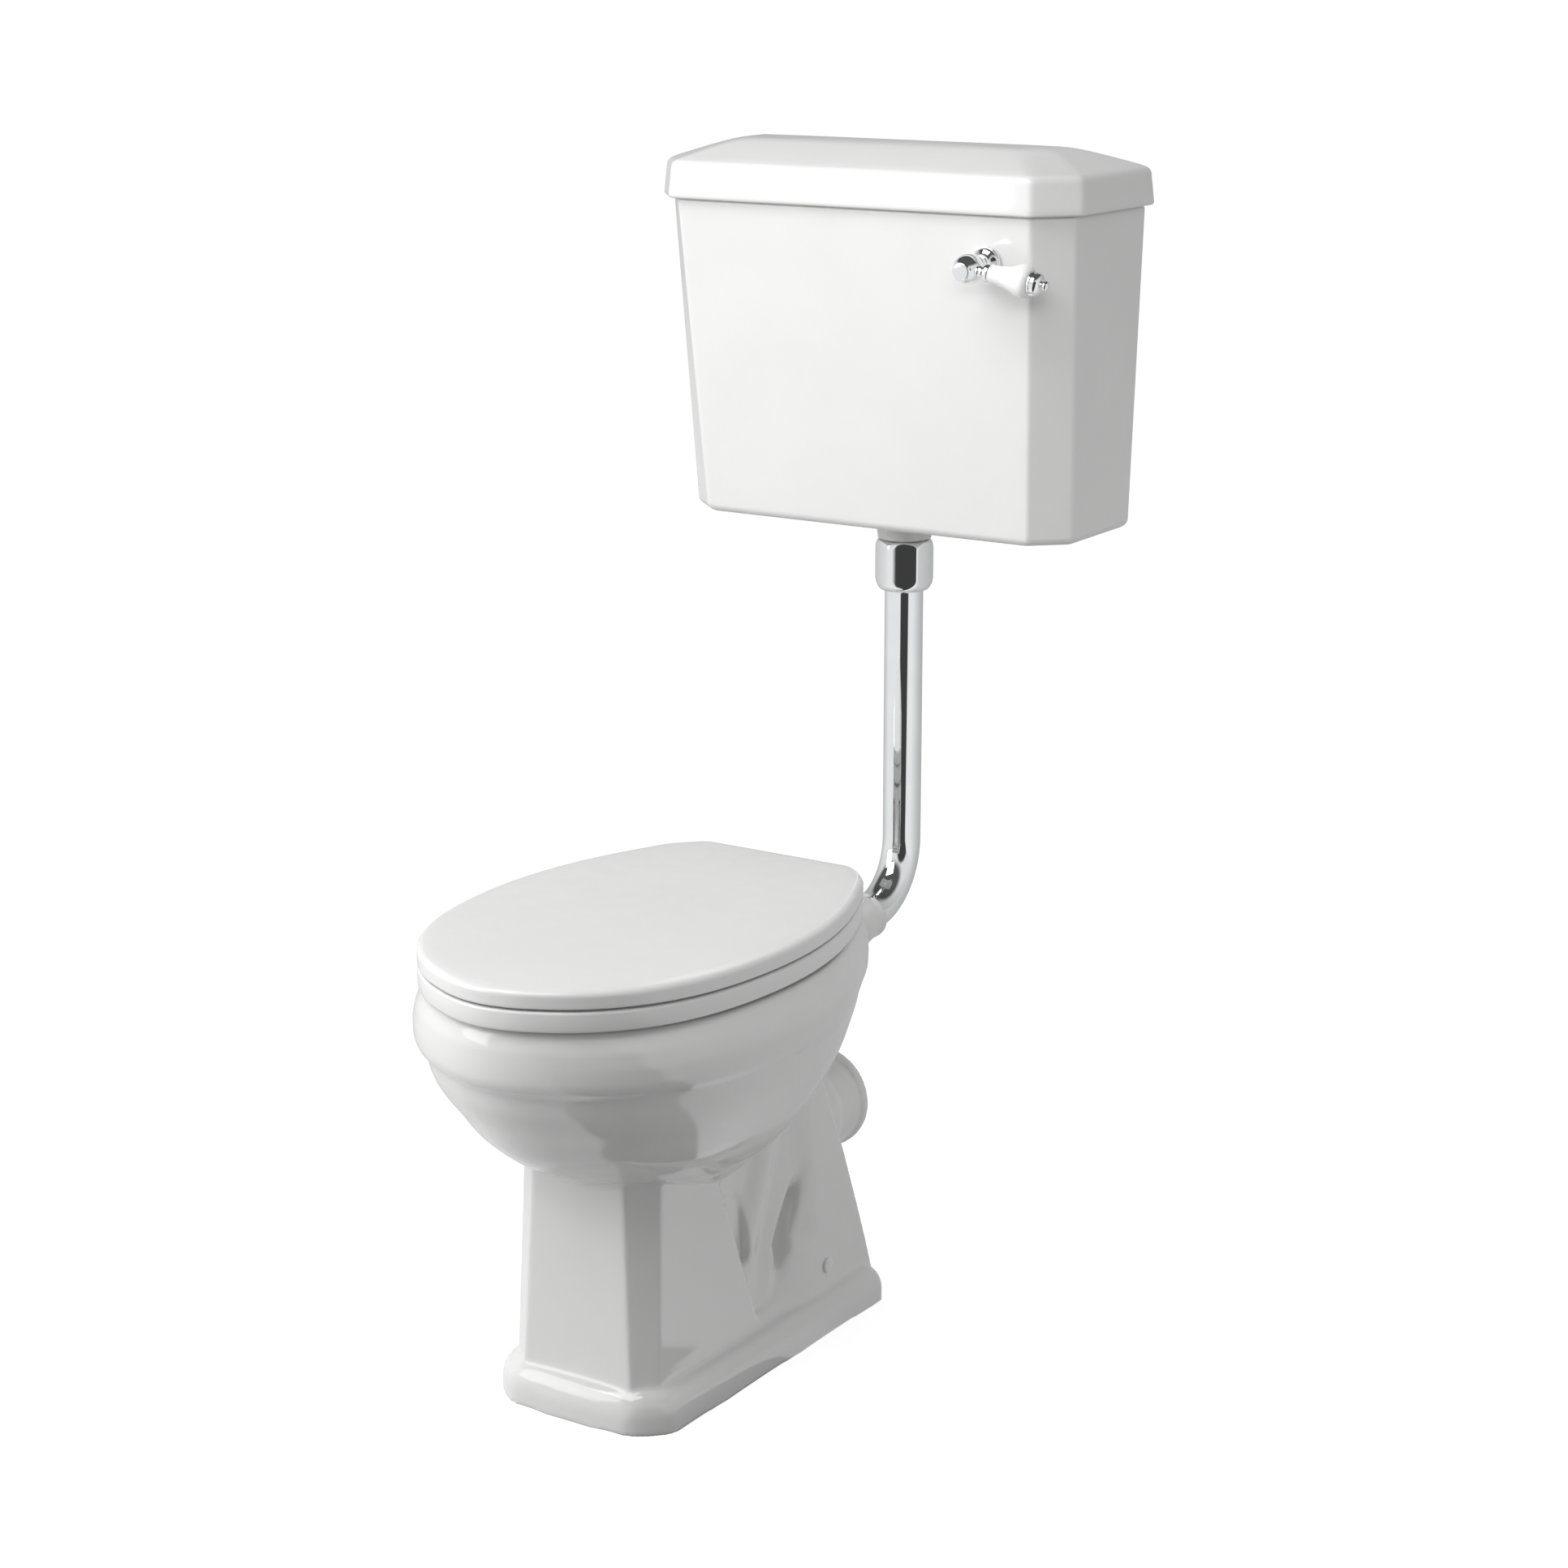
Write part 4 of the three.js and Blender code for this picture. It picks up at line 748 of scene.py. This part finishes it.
for side, s in (("left", -1), ("right", 1)):
    base = [(0, 399.4), (0, 399.4)] + smooth_profile([(11.4, 399.4), (11.5, 400.4), (11.3, 401.8), (10.2, 402.9), (7.6, 403.6), (6.4, 405), (6.1, 408), (6.1, 414)], 4)
    barrel = [(0, 58.2), (4.6, 58.2)] + smooth_profile([(5.7, 58.5), (6.2, 59.2), (6.3, 60.4), (6.3, 73.5), (6.2, 75), (5.7, 75.7), (4.6, 75.9)], 4) + [(0, 76)]
    make("hinge_post_chrome_" + side, *join(turned(base, (s * HX, -300, 0), (0, 0, 1), 40), turned(barrel, (0, HY, HZ), (s, 0, 0), 40)), "chrome", "fixed", "hinge_post_" + side, weighted=True, angle=50)
    cap = smooth_profile([(7.6, 82.2), (7.6, 86.4), (7.2, 87.9), (6.0, 88.8), (4.0, 89.2), (0, 89.4)], 4)
    make("screw_cap_white_" + side, *turned([(0, 82.2), (7.6, 82.2)] + cap, (0, -345, 60), (s, 0, 0), 48), "seat_plastic", "fixed", "screw_cap_" + side, weighted=False)

# ------------------------------------------------------------------ cistern
def box_outline(w, d, cx, cy, r, inset=0.0, back=0.0, seg=6, straight=7):
    """Outline with bevelled front corners and rounded turns, anticlockwise from above, equal point counts for every size."""
    x = w / 2 - inset
    y0, y1 = -(back + inset), -(d - inset)
    k = 0.41 * inset
    corners = [(x, y0), (-x, y0), (-x, y1 + cy - k * 0.6), (-x + cx - k * 0.6, y1), (x - cx + k * 0.6, y1), (x, y1 + cy - k * 0.6)]
    rad = [min(r, 2.5), min(r, 2.5), r, r, r, r]
    out = []
    n = len(corners)
    P = [np.array(c, float) for c in corners]
    seqs = []
    for i in range(n):
        a, p, b = P[i - 1], P[i], P[(i + 1) % n]
        u, v = (a - p) / np.linalg.norm(a - p), (b - p) / np.linalg.norm(b - p)
        th = math.acos(np.clip(u @ v, -1, 1))
        rr = max(0.4, rad[i])
        L = rr / math.tan(th / 2)
        s, e = p + u * L, p + v * L
        c = p + (u + v) / np.linalg.norm(u + v) * (rr / math.sin(th / 2))
        a0 = math.atan2(*(s - c)[::-1])
        a1 = math.atan2(*(e - c)[::-1])
        while a1 - a0 > math.pi:
            a1 -= 2 * math.pi
        while a1 - a0 < -math.pi:
            a1 += 2 * math.pi
        seqs.append([c + rr * np.array([math.cos(t), math.sin(t)]) for t in np.linspace(a0, a1, seg + 1)])
    for i in range(n):
        out += seqs[i]
        e, s = seqs[i][-1], seqs[(i + 1) % n][0]
        out += [e + (s - e) * t for t in np.linspace(0, 1, straight + 2)[1:-1]]
    return np.array(out)

CZ0, CZ1 = 721.7, 1027.0
def cis(z, inset, r=9.0):
    t = (z - CZ0) / (CZ1 - CZ0)
    L = lambda a, b: a + (b - a) * t
    return at_z(box_outline(L(417.4, 435.2), L(143.4, 174.0), L(31.8, 27.6), L(29.4, 34.4), r, inset), z)

rings = []
c = np.array([0, -70.0, 0])
first = cis(CZ0 + 0.2, 34)
for s in (0.34, 0.6, 0.85):
    q = first.copy()
    q[:, :2] = c[:2] + (q[:, :2] - c[:2]) * s
    rings.append(q)
rings.append(first)
for a in np.linspace(0, math.pi / 2, 9):
    rings.append(cis(CZ0 + 0.2 + 8.5 * (1 - math.cos(a)), 8.5 * (1 - math.sin(a))))
for z in np.linspace(CZ0 + 30, CZ1 - 6, 7):
    rings.append(cis(z, 0))
for a in np.linspace(0, math.pi / 2, 5):
    rings.append(cis(CZ1 - 3.6 + 3.4 * math.sin(a), 3.4 * (1 - math.cos(a))))
for a in np.linspace(0, math.pi / 2, 5):
    rings.append(cis(CZ1 - 0.2 - 3.4 * (1 - math.cos(a)), 6.2 + 3.4 * math.sin(a), 8))
for z in np.linspace(CZ1 - 20, CZ0 + 34, 6):
    rings.append(cis(z, 9.6, 8))
for a in np.linspace(0, math.pi / 2, 6):
    rings.append(cis(CZ0 + 10 + 14 * (1 - math.sin(a)), 9.6 + 14 * (1 - math.cos(a)), 8))
inner = rings[-1]
for s in (0.85, 0.6, 0.34):
    q = inner.copy()
    q[:, :2] = c[:2] + (q[:, :2] - c[:2]) * s
    rings.append(q)
# the floor stays open round the siphon's tail
n = len(rings[0])
ang = np.arctan2(rings[0][:, 1] - PIPE_Y, rings[0][:, 0])
for z, target in ((CZ0 + 10, len(rings)), (CZ0 + 0.2, 0)):
    q = np.column_stack([25.0 * np.cos(ang), PIPE_Y + 25.0 * np.sin(ang), np.full(n, z)])
    if target:
        rings.append(q)
    else:
        rings.insert(0, q)
v, f = loft(rings, close=True)
body = make("cistern_body_china", v, f, "china", "fixed", "cistern_body", weighted=True)

def lid_ring(z, inset, r=12.0, back=0.0):
    return at_z(box_outline(453.6, 182.5, 32.4, 38.9, r, inset, back), z)
rings = []
def scaled(q, s, z=None):
    q = q.copy()
    cc = np.array([0, -88.0])
    q[:, :2] = cc + (q[:, :2] - cc) * s
    if z is not None:
        q[:, 2] = z
    return q
def pin_back(q, y=0.0):
    """Returns the ring unchanged."""
    return q
top_in = lid_ring(1062, 44)
rings += [scaled(top_in, s, 1062 + 3 * (1 - s)) for s in (0.05, 0.4, 0.75)] + [top_in]
rings += [lid_ring(1058, 24), lid_ring(1046, 15), lid_ring(1030, 13.2), lid_ring(1028, 12.6)]
rings += [lid_ring(1027.5, 10), lid_ring(1027.1, 3.4)]
for a in np.linspace(0, math.pi / 2, 5):
    rings.append(lid_ring(1027.1 + 2.6 * (1 - math.cos(a)), 3.2 * (1 - math.sin(a)) ))
for z, g in ((1034, .3), (1041, 0.9), (1048, 1.5), (1054, 2.1)):
    rings.append(lid_ring(z, g, 11))
for a in np.linspace(0.12, 1.22, 9):
    rings.append(lid_ring(1055.5 + 8.5 * math.sin(a), 2.2 + 8.5 * (1 - math.cos(a)), 12))
for g, z in ((11, 1065.0), (16, 1066.9), (24, 1069.9), (34, 1073.6), (44, 1077.0), (52, 1079.4), (58, 1080.8), (64, 1081.7)):
    rings.append(lid_ring(z, g, min(12 + g * 0.3, 26)))
last = rings[-1]
for s, z in ((0.8, 1082.3), (0.55, 1082.8), (0.3, 1083.1), (0.08, 1083.2)):
    rings.append(scaled(last, s, z))
v, f = loft(rings)
make("cistern_lid_china", v, f, "china", "cistern_cover", "cistern_lid", weighted=False)

# ------------------------------------------------------------------ flush lever, square to the sloping front
tilt = math.atan((174.0 - 143.4) / (CZ1 - CZ0))
LX, LZ = 144.0, 985.0
LY = -(143.4 + (174.0 - 143.4) * (LZ - CZ0) / (CZ1 - CZ0))
d = np.array([0, -math.cos(tilt), -math.sin(tilt)])
up = np.array([0, -math.sin(tilt), math.cos(tilt)])
droop = math.radians(8)
h = np.array([1.0, 0, 0]) * math.cos(droop) - up * math.sin(droop)
O = np.array([LX, LY, LZ])
rose = [(7.9, 0.2), (7.9, 0.2), (14.2, 0.2), (14.2, 0.2)] + smooth_profile([(14.5, 0.9), (14.5, 2.2), (13.9, 3.3), (13.3, 3.6), (13.2, 4.2), (12.2, 5.4), (10.2, 7.2), (8.4, 9.0), (7.6, 10.6), (7.4, 12.2)], 5) + [(7.0, 12.8), (5.3, 12.8)]
make("lever_rose_chrome", *turned(rose, O, d, 64), "chrome", "fixed", "lever_rose", weighted=False)
hub = [(5.0, 13.2), (6.9, 13.2), (6.9, 13.2)] + smooth_profile([(7.2, 13.8), (7.2, 17.5), (7.0, 18.6), (8.0, 20.0), (10.2, 22.6), (12.2, 26.2), (13.6, 30.5), (14.1, 35.0), (13.5, 39.6), (11.9, 43.6), (10.1, 46.2), (9.2, 47.2)], 5) + [(8.9, 47.5), (8.5, 48.0), (8.3, 48.6), (8.2, 48.9)] + smooth_profile([(7.9, 49.3), (6.0, 49.8), (3.0, 50.1), (0, 50.2)], 3)
arm = smooth_profile([(6.8, 6.0), (6.4, 11.5), (6.0, 14.5), (6.3, 16.3), (7.9, 17.6), (9.0, 18.6), (9.4, 19.8), (9.4, 22.4), (9.0, 23.4), (8.2, 23.9)], 4) + [(0, 24.0)]
make("lever_hub_chrome", *join(turned(hub, O, d, 72), turned([(0, 4.0)] + arm, O + d * 35.0, h, 56)), "chrome", "lever", "lever_hub", weighted=False)
handle = smooth_profile([(8.0, 23.9), (8.9, 24.6), (9.0, 26.5), (8.8, 30), (9.2, 35), (10.3, 41), (12.2, 47), (14.1, 52.5), (15.0, 57.0), (14.8, 60.5), (13.4, 63.2), (11.4, 64.4), (9.6, 64.6)], 6)
make("lever_handle_porcelain", *turned([(0, 24.1)] + handle + [(0, 64.7)], O + d * 35.0, h, 72), "porcelain", "lever", "lever_handle", weighted=False)
cap = smooth_profile([(10.6, 64.2), (11.2, 64.8), (11.2, 66.2), (10.8, 67.6), (10.7, 68.4), (10.5, 70.4), (9.5, 72.6), (7.4, 74.4), (4.9, 75.3), (3.5, 75.6), (3.4, 76.0), (4.1, 76.7), (4.7, 77.9), (4.7, 79.0), (4.0, 80.4), (2.4, 81.4), (0, 81.7)], 5)
make("lever_end_chrome", *turned([(0, 64.0), (10.6, 64.0)] + cap, O + d * 35.0, h, 56), "chrome", "lever", "lever_end_cap", weighted=False)

# ------------------------------------------------------------------ inner float that shows when the cover is off
fb0, fb1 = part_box("float_ball")
fc = (np.array(fb0) + np.array(fb1)) / 2
ctr = np.array([fc[0] / MM, (fc[1] - OY) / MM, fc[2] / MM])
ball = [(0, -40.0)] + [(40.0 * math.cos(t), 40.0 * math.sin(t)) for t in np.linspace(-math.pi / 2, -0.03, 18)[1:]] + [(40.6, -0.8), (40.8, 0), (40.6, 0.8)] + [(40.0 * math.cos(t), 40.0 * math.sin(t)) for t in np.linspace(0.03, math.pi / 2, 18)[:-1]] + [(0, 40.0)]
make("float_ball_smooth", *turned(ball, ctr, (0, 0, 1), 64), "float_plastic", "float", "float_ball", weighted=False)

# ------------------------------------------------------------------ studio
FLOOR_BOUNCE = 0.38      # how much light the floor throws back
ROOM_AZ, ROOM_LIGHT, ROOM_DIM = 48.0, 0.56, 0.14
def stage_mesh(name, verts, faces, mat, smooth=True):
    me = bpy.data.meshes.new(name)
    me.from_pydata(verts, [], faces)
    if smooth:
        me.shade_smooth()
    o = bpy.data.objects.new(name, me)
    bpy.context.scene.collection.objects.link(o)
    me.materials.append(mat)
    return o

fm = bpy.data.materials.new("floor_pale")
fm.use_nodes = True
fn = fm.node_tree
fn.nodes.clear()
fo = fn.nodes.new("ShaderNodeOutputMaterial")
lp = fn.nodes.new("ShaderNodeLightPath")
mxs = fn.nodes.new("ShaderNodeMixShader")
bounce = fn.nodes.new("ShaderNodeBsdfDiffuse")
bounce.inputs["Color"].default_value = (FLOOR_BOUNCE, FLOOR_BOUNCE, FLOOR_BOUNCE, 1)
seen = fn.nodes.new("ShaderNodeBsdfDiffuse")
seen.inputs["Color"].default_value = (0.40, 0.40, 0.40, 1)
glow = fn.nodes.new("ShaderNodeEmission")
glow.inputs["Strength"].default_value = 0.84
add = fn.nodes.new("ShaderNodeAddShader")
fn.links.new(seen.outputs[0], add.inputs[0])
fn.links.new(glow.outputs[0], add.inputs[1])
fn.links.new(lp.outputs["Is Camera Ray"], mxs.inputs[0])
fn.links.new(bounce.outputs[0], mxs.inputs[1])
fn.links.new(add.outputs[0], mxs.inputs[2])
# painted reflection: for glossy rays only the floor glows bright, with a dark band painted towards GAP_AZ and dimmer
# towards DULL_AZ
GAP_AZ, GAP_IN, GAP_OUT = 37.0, 0.925, 0.885
DULL_AZ = 188.0
ftc = fn.nodes.new("ShaderNodeTexCoord")
fnm = fn.nodes.new("ShaderNodeVectorMath")
fnm.operation = "NORMALIZE"
fn.links.new(ftc.outputs["Object"], fnm.inputs[0])
fdt = fn.nodes.new("ShaderNodeVectorMath")
fdt.operation = "DOT_PRODUCT"
fn.links.new(fnm.outputs[0], fdt.inputs[0])
fdt.inputs[1].default_value = (math.sin(math.radians(GAP_AZ)), -math.cos(math.radians(GAP_AZ)), 0)
fmr = fn.nodes.new("ShaderNodeMapRange")
fmr.interpolation_type = "SMOOTHSTEP"
for k_, x_ in zip(("From Min", "From Max", "To Min", "To Max"), (GAP_OUT, GAP_IN, 0.86, 0.05)):
    fmr.inputs[k_].default_value = x_
fn.links.new(fdt.outputs["Value"], fmr.inputs["Value"])
fbk = fn.nodes.new("ShaderNodeVectorMath")
fbk.operation = "DOT_PRODUCT"
fn.links.new(fnm.outputs[0], fbk.inputs[0])
fbk.inputs[1].default_value = (math.sin(math.radians(DULL_AZ)), -math.cos(math.radians(DULL_AZ)), 0)
fdl = fn.nodes.new("ShaderNodeMapRange")
for k_, x_ in zip(("From Min", "From Max", "To Min", "To Max"), (-0.1, 0.95, 1.0, 0.55)):
    fdl.inputs[k_].default_value = x_
fn.links.new(fbk.outputs["Value"], fdl.inputs["Value"])
fml = fn.nodes.new("ShaderNodeMath")
fml.operation = "MULTIPLY"
fn.links.new(fmr.outputs["Result"], fml.inputs[0])
fn.links.new(fdl.outputs["Result"], fml.inputs[1])
# painted reflection: this emission is seen only by glossy rays, not by the camera or by bounce light
painted_reflection_glow = fn.nodes.new("ShaderNodeEmission")
fn.links.new(fml.outputs[0], painted_reflection_glow.inputs["Strength"])
mxg = fn.nodes.new("ShaderNodeMixShader")
fn.links.new(lp.outputs["Is Glossy Ray"], mxg.inputs[0])
fn.links.new(mxs.outputs[0], mxg.inputs[1])
fn.links.new(painted_reflection_glow.outputs[0], mxg.inputs[2])
fn.links.new(mxg.outputs[0], fo.inputs[0])
stage_mesh("floor", [(-70, -70, 0), (70, -70, 0), (70, 70, 0), (-70, 70, 0)], [(0, 1, 2, 3)], fm, False)

def area(name, loc, target, size, power, color=(1, 1, 1), spread=180.0):
    L = bpy.data.lights.new(name, "AREA")
    L.shape = "RECTANGLE"
    L.size, L.size_y = size
    L.energy = power
    L.spread = math.radians(spread)
    L.color = color
    o = bpy.data.objects.new(name, L)
    o.location = loc
    o.rotation_euler = (Vector(target) - Vector(loc)).to_track_quat("-Z", "Y").to_euler()
    bpy.context.scene.collection.objects.link(o)
    return o

def around(az, dist, z):
    """A place dist from the object, az degrees round from the front towards +X."""
    a = math.radians(az)
    return (math.sin(a) * dist, -math.cos(a) * dist, z)

area("key_left", around(-40, 3.0, 1.8), (0, 0, 0.72), (1.8, 2.4), 35)
for fill in (area("low_left", around(-62, 2.4, 0.45), (0, -0.2, 0.25), (1.2, 0.8), 11.5),
             area("high_fill", around(30, 1.9, 1.7), (0, 0.2, 1.0), (1.2, 0.5), 0.9, spread=42),
             area("low_right", around(112, 2.4, 0.45), (0, -0.1, 0.1), (1.6, 0.8), 4.6, spread=110)):
    fill.visible_glossy = False
area("overhead", (-0.4, -1.5, 2.6), (0, -0.4, 0.4), (1.8, 1.6), 35)

# soft room: grey all round, with the dim gap between the softboxes that polished metal shows
w = bpy.data.worlds.new("studio")
bpy.context.scene.world = w
w.use_nodes = True
wn = w.node_tree
bg = wn.nodes["Background"]
wout = wn.nodes["World Output"]
tc = wn.nodes.new("ShaderNodeTexCoord")

def facing(az, elev=0.0):
    dot = wn.nodes.new("ShaderNodeVectorMath")
    dot.operation = "DOT_PRODUCT"
    wn.links.new(tc.outputs["Generated"], dot.inputs[0])
    a, e = math.radians(az), math.radians(elev)
    dot.inputs[1].default_value = (math.sin(a) * math.cos(e), -math.cos(a) * math.cos(e), math.sin(e))
    return dot.outputs["Value"]

def remap(v, a0, a1, b0, b1):
    mr = wn.nodes.new("ShaderNodeMapRange")
    mr.interpolation_type = "SMOOTHSTEP"
    for k, x in zip(("From Min", "From Max", "To Min", "To Max"), (a0, a1, b0, b1)):
        mr.inputs[k].default_value = x
    wn.links.new(v, mr.inputs["Value"])
    return mr.outputs["Result"]

def mul(a, b):
    m = wn.nodes.new("ShaderNodeMath")
    m.operation = "MULTIPLY"
    wn.links.new(a, m.inputs[0])
    wn.links.new(b, m.inputs[1])
    return m.outputs[0]

side = remap(facing(ROOM_AZ), -0.35, 0.85, ROOM_LIGHT, ROOM_DIM)
shiny = mul(remap(facing(GAP_AZ), GAP_OUT - 0.03, GAP_IN, 0.78, 0.05), remap(facing(DULL_AZ), -0.1, 0.95, 1.0, 0.55))
shiny = mul(shiny, remap(facing(0, 90), 0.42, 0.68, 1.0, 0.12))
wlp = wn.nodes.new("ShaderNodeLightPath")
seen_by = wn.nodes.new("ShaderNodeMix")
seen_by.data_type = "FLOAT"
wn.links.new(wlp.outputs["Is Glossy Ray"], seen_by.inputs[0])
wn.links.new(side, seen_by.inputs[2])
wn.links.new(shiny, seen_by.inputs[3])
wn.links.new(seen_by.outputs[0], bg.inputs["Strength"])
bg.inputs["Color"].default_value = (1, 1, 1, 1)
white = wn.nodes.new("ShaderNodeBackground")
white.inputs["Strength"].default_value = 1.0
wmx = wn.nodes.new("ShaderNodeMixShader")
wn.links.new(wlp.outputs["Is Camera Ray"], wmx.inputs[0])
wn.links.new(bg.outputs[0], wmx.inputs[1])
wn.links.new(white.outputs[0], wmx.inputs[2])
wn.links.new(wmx.outputs[0], wout.inputs[0])

# ------------------------------------------------------------------ camera
cam = bpy.data.cameras.new("photo_view")
cam.sensor_width = 36.0
cam.sensor_fit = "HORIZONTAL"
cam.lens = 74.195
cam.clip_end = 60
co = bpy.data.objects.new("photo_view", cam)
co.location = (1.56604, -2.37239, 1.28746)
co.rotation_euler = (math.radians(90 - 15.0625), 0, math.radians(32.4725))
bpy.context.scene.collection.objects.link(co)
bpy.context.scene.camera = co
bpy.context.scene.view_settings.view_transform = "Standard"
bpy.context.scene.view_settings.exposure = 0.0
